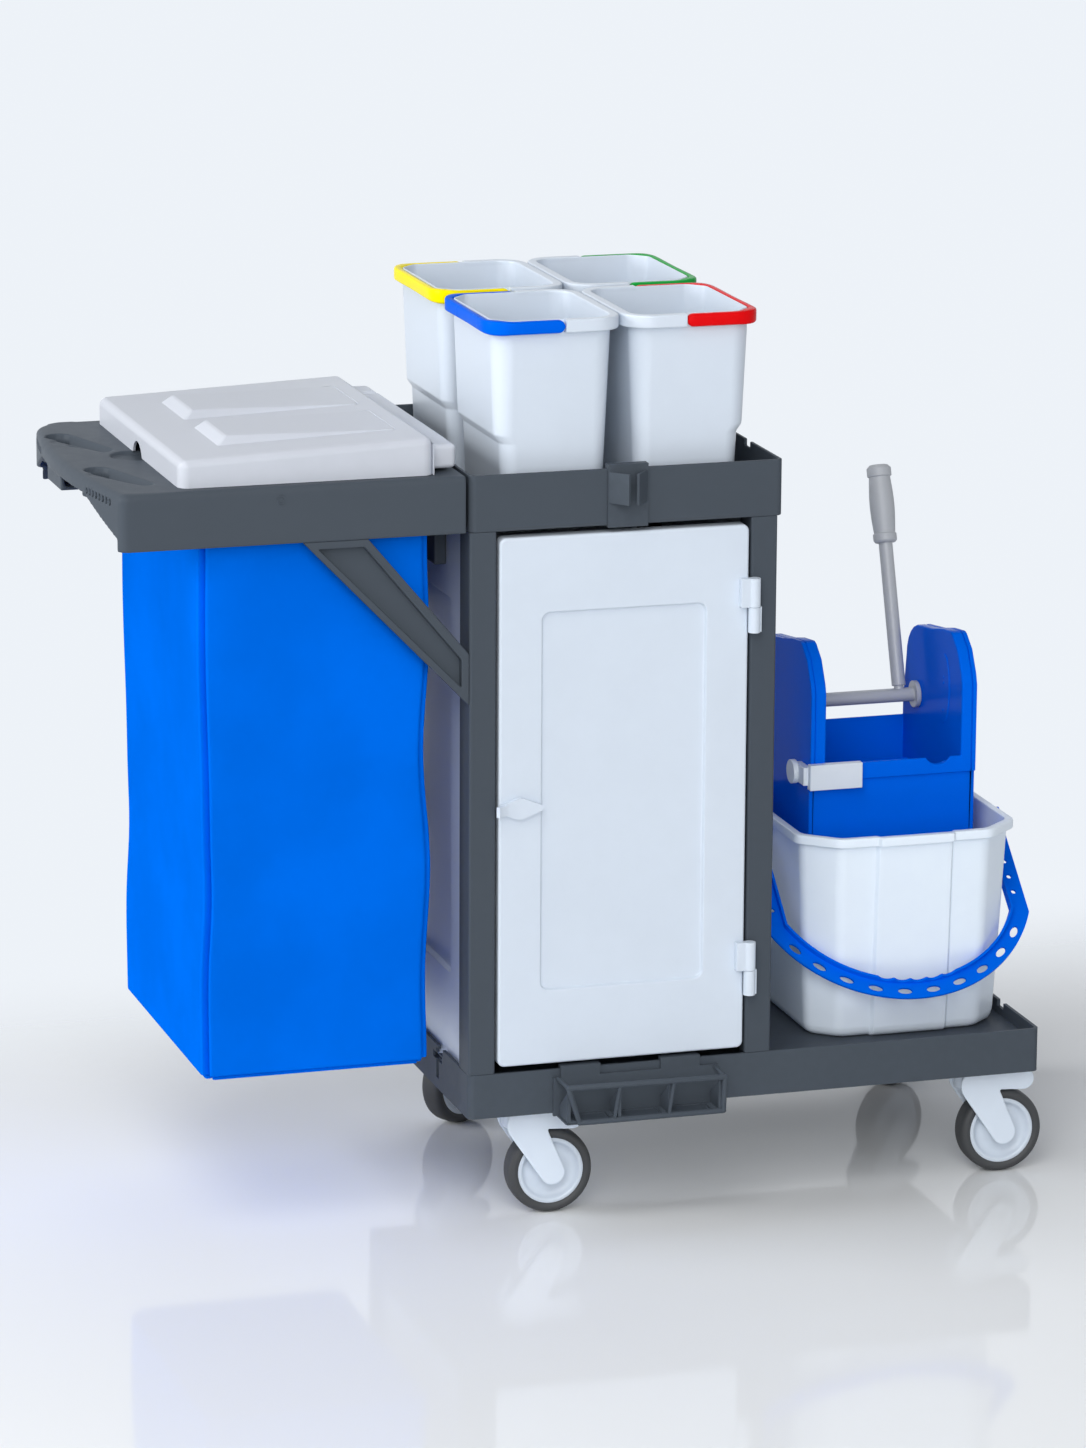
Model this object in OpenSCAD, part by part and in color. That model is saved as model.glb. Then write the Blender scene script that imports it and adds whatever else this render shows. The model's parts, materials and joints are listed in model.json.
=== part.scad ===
// Janitor cart: wheeled base with a mop bucket and wringer, a lockable cabinet,
// four colour-coded bins on top and a lidded waste bag on a push-handle frame.

/* [Base] */
// Length of the base tray
base_l = 709; // [640:1:800]
// Depth of the base, the top tray and the bag frame
base_w = 440; // [420:1:480]
// Height of the base tray's sides
base_h = 53; // [45:1:70]
// Underside of the base above the floor
base_clear = 137; // [137:1:160]
// Wall of the trays
tray_wall = 4; // [3:0.5:5]
// Corner radius of the trays
tray_r = 8; // [6:1:12]
// Depth of the deck below the rim of the base
deck_drop = 17; // [12:1:22]
// Thickness of the deck and the tray floor
deck_t = 4; // [3:0.5:6]
// Distance of the finger notches from the front and the back
notch_in = 109; // [90:1:130]
// Width of a finger notch
notch_w = 20; // [12:1:30]
// Depth of a finger notch
notch_h = 8; // [4:1:12]

/* [Casters] */
// Wheel diameter
wheel_d = 103; // [96:1:104]
// Width of the tyre
tyre_w = 30; // [24:1:32]
// Diameter of the white rim inside the tyre
rim_d = 80; // [70:1:84]
// Width of the rim
rim_w = 26; // [20:1:30]
// Trail of the wheel behind the kingpin
trail = 34; // [28:1:38]
// Kingpins from the left end of the base
caster_in_left = 80; // [70:1:100]
// Kingpins from the right end of the base
caster_in_right = 62; // [56:1:90]
// Front kingpins from the front of the base
caster_in_front = 58; // [45:1:80]
// Back kingpins from the back of the base
caster_in_back = 36; // [36:1:80]
// Turn of the back casters at rest
back_yaw = 30; // [0:5:45]
// Thickness of a fork leg
leg_t = 5; // [4:0.5:7]
// Diameter of the swivel neck
neck_d = 45; // [42:1:50]
// Wheel axle diameter
axle_d = 10; // [8:0.5:12]
// Kingpin diameter
stem_d = 12; // [10:0.5:14]

/* [Cabinet] */
// Room on the base between the cabinet and the bucket
bay_room = 61.5; // [40:0.5:80]
// Height of the posts between base and top tray
post_h = 643; // [600:1:700]
// Width of a post
post_w = 32; // [30:1:38]
// Depth of a post
post_d = 42; // [36:1:50]
// Wall of a post
post_wall = 7; // [6:0.5:9]
// Thickness of the wall panels
panel_t = 4; // [3:0.5:5]
// Set-back of the wall panels from the posts' faces
panel_in = 6; // [5:0.5:8]
// Depth of the recessed fields of the wall panels
field_d = 8; // [5:0.5:10]
// Distance from a panel's side edge to its field
field_side = 96; // [80:1:110]
// Distance from the cabinet's bottom and top to the fields
field_end = 97; // [80:1:120]
// Height of the shelf above the base's rim
shelf_h = 310; // [260:1:360]
// Thickness of the shelf
shelf_t = 4; // [3:0.5:6]
// Height of the shelf's lip
shelf_lip = 15; // [8:1:25]

/* [Door] */
// Gap between the door and the posts
door_gap = 3; // [2.5:0.5:4]
// Gap above and below the door
door_gap_z = 8; // [7:0.5:12]
// Depth of the door
door_t = 18; // [14:1:22]
// How far the door's face stands in front of the posts
door_proud = 2; // [1:0.5:3]
// Skin of the door
door_skin = 3; // [2.5:0.5:4]
// Width of the border beside the door's recess
door_border = 51; // [40:1:60]
// Height of the border above and below the recess
door_border_z = 89; // [60:1:110]
// Depth of the door's recess
door_recess = 5; // [3:0.5:7]
// Hinge axis in front of the posts
hinge_out = 8; // [7.5:0.5:10]
// Height of a hinge leaf
hinge_h = 30; // [24:1:36]
// Hinge pin diameter
hinge_pin_d = 6; // [5:0.5:7]
// Hinges from the door's bottom and top edges
hinge_in = 66; // [50:1:100]
// Latch shaft diameter
latch_d = 10; // [8:0.5:12]
// Latch axis from the door's left edge
latch_in = 24; // [22:1:28]
// Latch axis above the door's bottom edge
latch_z = 310; // [250:1:350]

/* [Top tray] */
// Overhang of the top tray past the cabinet's right side
tray_over = 5.9; // [4.5:0.1:20]
// Height of the top tray
tray_h = 66; // [56:1:80]
// Height of the recess under the tray's floor
tray_lift = 5; // [4:0.5:8]

/* [Bins] */
// Height of a bin
bin_h = 229; // [200:1:260]
// Room from a bin's rim to the end of the top tray
bin_end = 23.7; // [20:0.1:36]
// Room beside a bin's rim in its half of the top tray's depth
bin_room = 14; // [12:1:30]
// Gap between the bins at the middle
bin_gap = 2; // [2:0.5:6]
// Height of the rim and of the bail
rim_h = 15; // [12:1:18]
// Width of the rim and of the bail
rim_t = 9; // [8:0.5:11]
// Wall of a bin
bin_wall = 2.5; // [2:0.5:3]
// Draft of a bin from rim to foot, each side
bin_draft = 10; // [6:1:14]
// Step of the outer side
bin_step = 6; // [4:1:8]
// Height of that step
bin_step_z = 90; // [80:1:120]
// Height over which it fades into the side
bin_fade = 16; // [10:1:24]
// Bail pivot beyond the middle of the bin
bail_pivot = 2; // [0:1:8]
// Diameter of a bin bail's pegs
peg_d = 6; // [5:0.5:7]

/* [Bag frame] */
// Length of the frame from the cabinet to the push end
frame_l = 400.7; // [390:0.1:440]
// Gap between the frame and the top tray
frame_gap = 4.3; // [3.5:0.1:6]
// How far the push handle bows out
handle_bow = 23; // [15:1:30]
// Height of the push handle's edge
handle_h = 18; // [14:1:24]
// Length of the slopes that lead up to that edge
arch_l = 99; // [70:1:120]
// Front corner radius of the frame
corner_front = 12; // [10:1:40]
// Back corner radius of the frame
corner_back = 40; // [10:1:45]
// Wall of the frame
frame_wall = 5; // [4:0.5:6]
// Thickness of the frame's top plate
plate_t = 6; // [5:0.5:8]
// Diameter of the two grip holes
grip_d = 30; // [26:1:34]
// Distance between the two grip holes
grip_pitch = 196; // [170:1:210]
// Depth of the lip that holds the bag
lip_h = 25; // [20:1:32]
// Wall of that lip
lip_t = 4; // [3:0.5:5]
// Height of a brace along the post
brace_h = 201; // [160:1:230]
// Reach of a brace along the frame
brace_l = 195; // [150:1:230]
// Thickness of a brace
brace_t = 14; // [10:1:18]

/* [Bag and lid] */
// Length of the bag
bag_l = 270; // [255:1:275]
// Distance of the bag from the frame's front and back
bag_in = 25; // [22.5:0.5:35]
// Height of the bag below its hem
bag_h = 670; // [560:1:680]
// Wall of the bag
bag_wall = 3; // [2:0.5:4]
// Length of the lid's shell
lid_l = 297; // [290:1:300]
// Distance of the lid from the frame's front and back
lid_in = 16; // [8:0.5:20]
// Height of the lid at the handle side
lid_low = 31; // [26:1:36]
// Height of the lid at the hinge side
lid_high = 43; // [38:1:46]
// Wall of the lid
lid_wall = 3; // [2.5:0.5:4]
// Lid pin diameter
lid_pin_d = 8; // [6:0.5:9]

/* [Bucket] */
// Height of the bucket
bucket_h = 251; // [220:1:280]
// Length of the bucket's rim
bucket_l = 278; // [270:1:284]
// Width of the bucket's rim
bucket_w = 326; // [320:1:330]
// Height of the bucket's rim
bucket_rim = 12; // [10:1:16]
// Overhang of the rim
bucket_over = 7; // [5:0.5:9]
// Wall of the bucket
bucket_wall = 3; // [2.5:0.5:4]
// Draft of the bucket from rim to foot, each side
bucket_draft = 12; // [8:1:16]
// Corner cut of the bucket
bucket_cut = 44; // [36:1:50]
// Width of the raised front panel
bucket_panel = 97; // [80:1:110]
// Depth of the raised front panel
panel_proud = 5; // [3:0.5:7]
// Width of the carrying bail's band
band_w = 24; // [20:1:26]
// Thickness of the band
band_t = 3; // [2.5:0.5:4]
// Room between the bucket's raised panel and the middle of the hanging band
bail_ahead = 11.5; // [10.5:0.1:20]
// How much the radius of the bail's bow exceeds half the bail's width
bail_bulge = 16; // [13:1:22]
// Height of the lip on the band's inner edge
bail_lip = 7; // [5:0.5:9]
// Tilt of the hanging bail below level
bail_tilt = 42; // [36:1:46]

/* [Wringer] */
// Room between the wringer's cheeks and the sides of the bucket's rim
wringer_side = 34; // [31:0.5:37]
// Front of the wringer behind the front of the bucket's rim
wringer_front = 85; // [79:1:91]
// Back of the wringer in front of the back of the bucket's rim
wringer_back = 37; // [35:1:45]
// Height of the hopper's front edge above the bucket's rim
ledge_z = 70; // [64:1:78]
// Thickness of a cheek
cheek_t = 19; // [18:0.5:21]
// Lever axle in front of the wringer's back
lever_in = 51; // [44:1:58]
// Lever axle above the bucket's rim
lever_z = 111; // [104:1:118]
// Diameter of the lever axle
lever_d = 17; // [14:0.5:18]
// Length of the lever from its axle to the top of its grip
lever_l = 283; // [250:1:310]
// Lean of the lever at rest
lever_lean = 18.5; // [16:0.5:20]
// Length of the grip
grip_l = 96; // [80:1:110]
// Crank radius inside the cheeks
crank_r = 30; // [26:1:32]
// Press plate's shaft above the bucket's deck
press_z = 128; // [122:1:136]
// Height of the press plate
press_h = 148; // [136:1:154]

/* [Holders] */
// Width of the tool clip
clip_w = 48; // [44:1:60]
// Tool clip from the left end of the tray
clip_x = 163; // [120:1:200]
// Height of the clip's fingers
finger_h = 36; // [28:1:44]
// Reach of the clip's fingers
finger_l = 29; // [25:1:33]
// Width of the mop rack
rack_l = 189; // [170:1:200]
// Mop rack from the left end of the base
rack_x = 109; // [100:1:125]
// Reach of the mop rack
rack_d = 38; // [34:1:46]
// Height of the mop rack
rack_h = 46; // [40:1:50]

/* [Clearances] */
// Gap between pieces that touch loosely
gap = 0.3; // [0.3:0.05:0.5]
// Radial clearance of pins in their bores
fit = 0.05; // [0.03:0.01:0.1]

/* [Hidden] */
$fn = 48;
grey = "dimgray";
white = "whitesmoke";
blue = "royalblue";

// Levels above the floor
wheel_r = wheel_d / 2;
base_top = base_clear + base_h;
deck_z = base_top - deck_drop;
tray_z = base_top + post_h;
tray_top = tray_z + tray_h;
tray_under = tray_z + tray_lift;
tray_floor = tray_under + deck_t;

// Stiffening ribs under the trays, on the top tray's floor and behind the door
rib_t = 3;
rib_up = 6;
rail_t = 4;
rail_h = 6;
over = 1;

// Casters: crown over the wheel, legs beside it, hood over its trailing side
crown_gap = 4;
crown_z = wheel_d + crown_gap;
crown_top = base_clear - gap;
head_h = 8;
head_over = 3;
boss_cap = 3;
leg_gap = 2.5;
leg_in = tyre_w / 2 + leg_gap;
leg_r = [22, 15];
hood_x = [16, 24];
hood_r = [12, 13];
hood_drop = [18, 20];
wheel_gap = 3.5;
dish_d = 6;
rim_edge = 7;
hub_over = 9;
leg_out = leg_in + leg_t;
boss_d = neck_d + 5;
caster_x = [caster_in_left, base_l - caster_in_right];
caster_y = [caster_in_front, base_w - caster_in_back];

// Cabinet and door
cabinet_l = base_l - bucket_l - bay_room;
tray_l = cabinet_l + tray_over;
right_x = cabinet_l - post_w;
back_y = base_w - post_d;
groove = 4;
panel_slack = 0.3;
post_r = 3;
core_r = 2;
cleat_in = 4;
cleat_d = 14;
cleat_h = 8;
field_lip = 4;
field_r = 8;
shelf_r = 6;
door_x0 = post_w + door_gap;
door_x1 = right_x - door_gap;
door_z0 = base_top + door_gap_z;
door_z1 = tray_z - door_gap_z;
door_y0 = -door_proud;
door_y1 = door_t - door_proud;
door_edge = 4;
door_r = 8;
recess_r = 10;
hinge_x = right_x + 2;
hinge_y = -hinge_out;
hinge_r = hinge_out - 1;
hinge_z = [door_z0 + hinge_in, door_z1 - hinge_in - 2 * hinge_h];
leaf_w = 9;
leaf_t = 4;
leaf_in = 12;
pin_short = 6;
knuckle_cap = 4;
latch_x = door_x0 + latch_in;
latch_zz = door_z0 + latch_z;
latch_t = 7;
latch_r = 12.5;
latch_tail = [23, 4];
latch_nose = [20, 6];
finger_w = 12;
finger_root = 14;
finger_tip = 28;
finger_lift = 10;
cam_l = 38;
cam_w = 12;
cam_t = 4;
cam_r = 9;
keeper_play = 2;
shelf_z = base_top + shelf_h;
bump_x = panel_in + panel_t + field_d - 1;

// Bins: plan centre of each column and row
bins_mid = tray_l / 2;
bin_l = (tray_l - bin_gap) / 2 - bin_end;
bin_w = base_w / 2 - bin_room;
bin_dx = (bin_gap + bin_l) / 2;
bin_dy = base_w / 4 - 1;
bin_foot = rim_t + bin_draft;
bail_z = bin_h - rim_h / 2;
bail_end_r = rim_h / 2;
rim_r = 34;
boss_t = 6;
bin_boss_d = 14;
bail_slack = 0.5;
peg_l = 2.5;

// Bag frame and handle
frame_x1 = -frame_gap;
frame_x0 = frame_x1 - frame_l;
handle_x = frame_x0 - handle_bow;
handle_r = pow(base_w, 2) / (8 * handle_bow) + handle_bow / 2;
function bow_x(y) = handle_x + handle_r - sqrt(pow(handle_r, 2) - pow(base_w / 2 - y, 2));
arch_y = corner_front;
arch_foot = 14;
grip_in = 6;
channel_l = 78;
channel_a = 62;
channel_up = 8;
channel_d = [grip_d - 2, grip_d - 8];
dish_w = 56;
dish_t = 4;
slot_y = 28;
slot_w = 5;
slot_h = 7;
slot_pitch = 10;
slot_count = 8;
slot_top = 9;
tongue_y = 114;
tongue_w = 42;
tongue_h = 50;
tongue_z = tray_z - 60;
hook_y = base_w / 2 - 5;
hook_w = 72;
hook_z = tray_top - 36;
hook_t = 5;
hook_in = 3;
hook_l = 22;
hook_up = 14;
brace_top = 76;
brace_foot = 60;
brace_web = 4;
brace_edge = 9;
brace_in = 1;
plate_z = tray_top - plate_t;
bag_x1 = -40;
bag_x0 = bag_x1 - bag_l;
bag_y0 = bag_in;
bag_y1 = base_w - bag_in;
bag_r = 22;
bag_foot = 30;
bag_taper = 8;
ledge_t = 3;
hem = 3.5;
lip_out = bag_wall + hem + gap;
lip_z = plate_z - lip_h;
bag_z = lip_z + ledge_t - bag_h;
lid_x1 = -37;
lid_x0 = lid_x1 - lid_l;
lid_w = base_w - 2 * lid_in;
lid_y0 = lid_in;
lid_bevel = 8;
lid_chin = 10;
lid_roof = 14;
roof_t = 4;
pad_w = 116;
pad_y = [-138, 22];
pad_end = 60;
pad_run = 8;
pad_h = 11;
arch_w = 160;
arch_up = 6;
arch_in = 12;
lid_z = tray_top + gap;
pin_x = -14;
pin_z = tray_top + 12;
pin_end = 2;
knuckle_r = 7;
lug_w = 16;
lug_out = 136;
strip_end = 10;
lug_y = [base_w / 2 - lug_out, base_w / 2 - lug_w / 2, base_w / 2 + lug_out - lug_w];

// Bucket and wringer
bucket_x = base_l - bucket_l / 2;
bucket_y = base_w / 2;
bucket_z = deck_z + gap;
rim_z = bucket_z + bucket_h;
bucket_foot = 14;
foot_in = 8;
panel_side = 3;
bail_gap = 3;
bail_half = bucket_l / 2 + bail_gap + band_w / 2;
bail_r = bail_half + bail_bulge;
bail_reach = (bucket_w / 2 + panel_proud + bail_ahead) / cos(bail_tilt);
bail_bow = bail_reach - bail_r;
bail_drop = 13;
bail_pz = rim_z - bucket_rim - bail_drop;
pivot_d = 8;
pivot_in = 20;
pivot_boss = 5;
pivot_l = 9;
oval_l = 14;
oval_w = 6.4;
oval_step = 12;
oval_out = 2;
hole_d = 6;
hole_pitch = 22;
hole_y = [50, 116];
lip_wall = 3;
lip_start = 24;
scallop_d = 24;
scallop_pitch = 20;
scallop_deep = 4;
wringer_l = bucket_l - 2 * wringer_side;
hop_y0 = bucket_y - bucket_w / 2 + wringer_front;
hop_y1 = bucket_y + bucket_w / 2 - wringer_back;
ledge = rim_z + ledge_z;
ledge_h = 20;
ledge_in = 4;
lever_yy = hop_y1 - lever_in;
lever_zz = rim_z + lever_z;
press_in = 22;
press_yy = hop_y1 - press_in;
press_zz = bucket_z + press_z;
press_d = lever_d - 3;
press_t = 5;
press_gap = 1.5;
sump = 38;
sump_l = 16;
floor_up = 70;
hop_wall = 4;
strain_w = 6;
strain_pitch = 24;
strain_in = 26;
strain_end = 38;
notch_d = 36;
notch_up = 9;
notch_x = 29;
hanger_w = 18;
hanger_x = 26;
hanger_t = 8;
hanger_up = 14;
hanger_over = 6;
hanger_grip = 12;
ear_w = 30;
ear_t = 10;
cheek_in = wringer_l / 2 - cheek_t;
cheek_rise = 102;
cheek_r = 45;
cheek_front = 44;
cheek_back = 41;
cheek_waist = 15;
catch_l = 66;
catch_h = 31;
catch_t = 11;
catch_drop = 28;
catch_over = 4;
catch_side = 32;
catch_cap = 29;
skin = 3;
crank_x = cheek_in + skin + 1;
crank_t = 4.5;
link_x = crank_x + crank_t + 0.5;
link_t = 4.5;
cover_t = wringer_l / 2 - link_x - link_t - 0.5;
crank_pin = 7;
crank_a = 115;
arm_r = [14, 8];
strain_n = floor((2 * cheek_in - strain_pitch) / strain_pitch);
strain_x = [for (i = [0 : strain_n - 1]) (i - (strain_n - 1) / 2) * strain_pitch];
collar_d = 33;
collar_t = 6;
stub_in = 23;
stub_x = bucket_x + cheek_in - stub_in;
stub_l = 40;
stub_d = lever_d - 5;
tube_end = 8;
grip_r = 15;

// Holders
clip_t = 4;
clip_over = 5;
clip_below = 2;
clip_hook = 8;
finger_t = 3;
finger_lean = 38;
finger_drop = 3;
rack_t = 4;
rack_z = base_clear - 5;
rack_bar = 5;
rack_side = 7;
rack_toe = 14;
rack_hook = [2, 124];
rack_hook_w = 48;
drain_in = 8;
picket_x = 10;
picket_w = 3;

// Overall box, whose middle on the floor is the origin
box_x0 = handle_x;
box_x1 = max(bucket_x + bail_half + band_w / 2, caster_x[1] + trail + wheel_r);
box_y0 = -rack_d - rack_t;
box_y1 = max(
  base_w, caster_y[1] + (trail + hood_x[1] + hood_r[1]) * sin(back_yaw) + leg_out * cos(back_yaw)
);
origin_x = (box_x0 + box_x1) / 2;
origin_y = (box_y0 + box_y1) / 2;

module at_origin() {
  translate([-origin_x, -origin_y, 0]) children();
}

// Flat outlines and extrusions
module rrect(x0, y0, x1, y1, r) {
  translate([x0 + r, y0]) square([x1 - x0 - 2 * r, y1 - y0]);
  translate([x0, y0 + r]) square([x1 - x0, y1 - y0 - 2 * r]);
  for (x = [x0 + r, x1 - r], y = [y0 + r, y1 - r]) translate([x, y]) circle(r);
}

module box(x0, y0, z0, x1, y1, z1) {
  translate([x0, y0, z0]) cube([x1 - x0, y1 - y0, z1 - z0]);
}

module prism(z0, z1) {
  translate([0, 0, z0]) linear_extrude(z1 - z0) children();
}

// Extrudes an outline drawn in x and z along y
module slab_y(y0, y1) {
  translate([0, y1, 0]) rotate([90, 0, 0]) linear_extrude(y1 - y0) children();
}

// Extrudes an outline drawn in y and z along x
module slab_x(x0, x1) {
  translate([x0, 0, 0]) rotate([90, 0, 90]) linear_extrude(x1 - x0) children();
}

module rod_x(x0, x1, y, z, d) {
  translate([x0, y, z]) rotate([0, 90, 0]) cylinder(h = x1 - x0, d = d);
}

module rod_y(y0, y1, x, z, d) {
  translate([x, y1, z]) rotate([90, 0, 0]) cylinder(h = y1 - y0, d = d);
}

module rod_z(z0, z1, x, y, d) {
  translate([x, y, z0]) cylinder(h = z1 - z0, d = d);
}

// Outline of two circles and their common tangents
module taper_bar(p, r, q, s) {
  a = atan2(q[1] - p[1], q[0] - p[0]);
  b = acos((r - s) / norm(q - p));
  translate(p) circle(r);
  translate(q) circle(s);
  polygon([
    p + r * [cos(a + b), sin(a + b)], q + s * [cos(a + b), sin(a + b)],
    q + s * [cos(a - b), sin(a - b)], p + r * [cos(a - b), sin(a - b)]
  ]);
}

// Tray with a floor, open above and below
module tray(l, z0, z1, floor_z) {
  difference() {
    prism(z0, z1) rrect(0, 0, l, base_w, tray_r);
    prism(floor_z, z1 + over)
      rrect(tray_wall, tray_wall, l - tray_wall, base_w - tray_wall, tray_r - tray_wall / 2);
    prism(z0 - over, floor_z - deck_t)
      rrect(tray_wall, tray_wall, l - tray_wall, base_w - tray_wall, tray_r - tray_wall / 2);
    for (y = [notch_in, base_w - notch_in - notch_w])
      box(-over, y, z1 - notch_h, l + over, y + notch_w, z1 + over);
  }
}

module base_tray() {
  under = deck_z - deck_t;
  color(grey) at_origin() {
    difference() {
      union() {
        tray(base_l, base_clear, base_top, deck_z);
        for (x = caster_x, y = caster_y) rod_z(base_clear, under, x, y, boss_d);
        for (y = [base_w / 3, base_w * 2 / 3]) box(
          tray_wall, y - rib_t / 2, base_clear + rib_up, base_l - tray_wall, y + rib_t / 2, under
        );
        for (x = [base_l / 3, base_l * 2 / 3]) box(
          x - rib_t / 2, tray_wall, base_clear + rib_up, x + rib_t / 2, base_w - tray_wall, under
        );
      }
      for (x = caster_x, y = caster_y)
        rod_z(base_clear - over, under - boss_cap, x, y, stem_d + 2 * fit);
    }
  }
}

// Corner post with spigots into the base and the top tray
module post(x, y) {
  inset = tray_wall + gap;
  spigot_r = tray_r - tray_wall / 2 - gap;
  difference() {
    union() {
      prism(base_top, tray_z) rrect(x, y, x + post_w, y + post_d, post_r);
      prism(deck_z, tray_under)
        rrect(x + inset, y + inset, x + post_w - inset, y + post_d - inset, spigot_r);
    }
    prism(deck_z - over, tray_under + over)
      rrect(x + post_wall, y + post_wall, x + post_w - post_wall, y + post_d - post_wall, core_r);
    post_grooves();
  }
  post_cleat(x, y);
}

// Grooves that hold the side panels and the back panel
module post_grooves() {
  slack = panel_slack / 2;
  for (x = [panel_in, cabinet_l - panel_in - panel_t])
    box(x - slack, post_d - groove, 0, x + panel_t + slack, back_y + groove, tray_top);
  box(
    post_w - groove, base_w - panel_in - panel_t - slack, 0,
    right_x + groove, base_w - panel_in + slack, tray_top
  );
}

// Cleat that carries a corner of the shelf
module post_cleat(x, y) {
  inner = panel_in + panel_t + field_d + cleat_in;
  x0 = x < cabinet_l / 2 ? inner : right_x;
  x1 = x < cabinet_l / 2 ? post_w : cabinet_l - inner;
  y0 = y < base_w / 2 ? post_d - over : back_y - cleat_d;
  box(x0, y0, shelf_z - cleat_h, x1, y0 + cleat_d + over, shelf_z);
}

module post_front_left() {
  color(grey) at_origin() difference() {
    post(0, 0);
    box(
      post_w - post_wall - over, door_y1 - 0.5, latch_zz - cam_r,
      post_w + over, door_y1 + cam_t + over + keeper_play, latch_zz + cam_l + cam_w / 2 + keeper_play
    );
  }
}

module post_front_right() {
  color(grey) at_origin() post(right_x, 0);
}

module post_back_left() {
  color(grey) at_origin() post(0, back_y);
}

module post_back_right() {
  color(grey) at_origin() post(right_x, back_y);
}

// Wall panel drawn flat: its outer face at 0, its recessed field pushed inwards
module wall_panel(w, z0, z1) {
  f0 = field_side - post_d + groove;
  f1 = w - f0;
  g0 = base_top + field_end;
  g1 = tray_z - field_end;
  difference() {
    union() {
      box(0, 0, z0, w, panel_t, z1);
      slab_y(0, panel_t + field_d - 1) rrect(
        f0 - field_lip, g0 - field_lip, f1 + field_lip, g1 + field_lip, field_r + field_lip
      );
    }
    slab_y(-over, field_d) rrect(f0, g0, f1, g1, field_r);
  }
}

module side_panel() {
  w = back_y - post_d + 2 * groove - 2 * gap;
  translate([panel_in, base_w - post_d + groove - gap, 0]) rotate([0, 0, -90])
    wall_panel(w, deck_z, tray_under - gap);
}

module side_panel_left() {
  color(white) at_origin() side_panel();
}

module side_panel_right() {
  color(white) at_origin() translate([cabinet_l, 0, 0]) mirror([1, 0, 0]) side_panel();
}

module back_panel() {
  w = right_x - post_w + 2 * groove - 2 * gap;
  color(white) at_origin()
    translate([right_x + groove - gap, base_w - panel_in, 0]) rotate([0, 0, 180])
      wall_panel(w, deck_z, tray_under - gap);
}

module cabinet_shelf() {
  x0 = bump_x + 0.5;
  x1 = cabinet_l - x0;
  y0 = post_d + 1;
  y1 = back_y - 1;
  color(white) at_origin() difference() {
    prism(shelf_z, shelf_z + shelf_lip) rrect(x0, y0, x1, y1, shelf_r);
    prism(shelf_z + shelf_t, shelf_z + shelf_lip + over)
      rrect(x0 + shelf_t, y0 + shelf_t, x1 - shelf_t, y1 - shelf_t, shelf_r - shelf_t / 2);
  }
}

module top_tray() {
  color(grey) at_origin() {
    tray(tray_l, tray_z, tray_top, tray_floor);
    box(
      bins_mid - rail_t / 2, tray_wall, tray_under,
      bins_mid + rail_t / 2, base_w - tray_wall, tray_floor + rail_h
    );
    box(
      tray_wall, base_w / 2 - rib_t / 2, tray_under,
      tray_l - tray_wall, base_w / 2 + rib_t / 2, tray_floor + rail_h
    );
  }
}

// Plan of the bag frame: straight sides, a bowed push end and two round corners
module frame_plan(inset) {
  y = [corner_front, base_w - corner_back];
  r = [corner_front, corner_back];
  x = [for (i = [0, 1]) bow_x(y[i]) + r[i]];
  intersection() {
    translate([handle_x + handle_r, base_w / 2]) circle(handle_r - inset, $fn = 180);
    union() {
      translate([handle_x - 5, y[0]]) square([frame_l, y[1] - y[0]]);
      translate([x[0], inset]) square([frame_x1 - inset - x[0], base_w / 2]);
      translate([x[1], base_w / 2 - 1]) square([frame_x1 - inset - x[1], base_w / 2 + 1 - inset]);
      for (i = [0, 1]) translate([x[i], y[i]]) circle(r[i] - inset);
    }
  }
}

module bag_opening(out) {
  rrect(bag_x0 - out, bag_y0 - out, bag_x1 + out, bag_y1 + out, bag_r + out);
}

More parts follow.
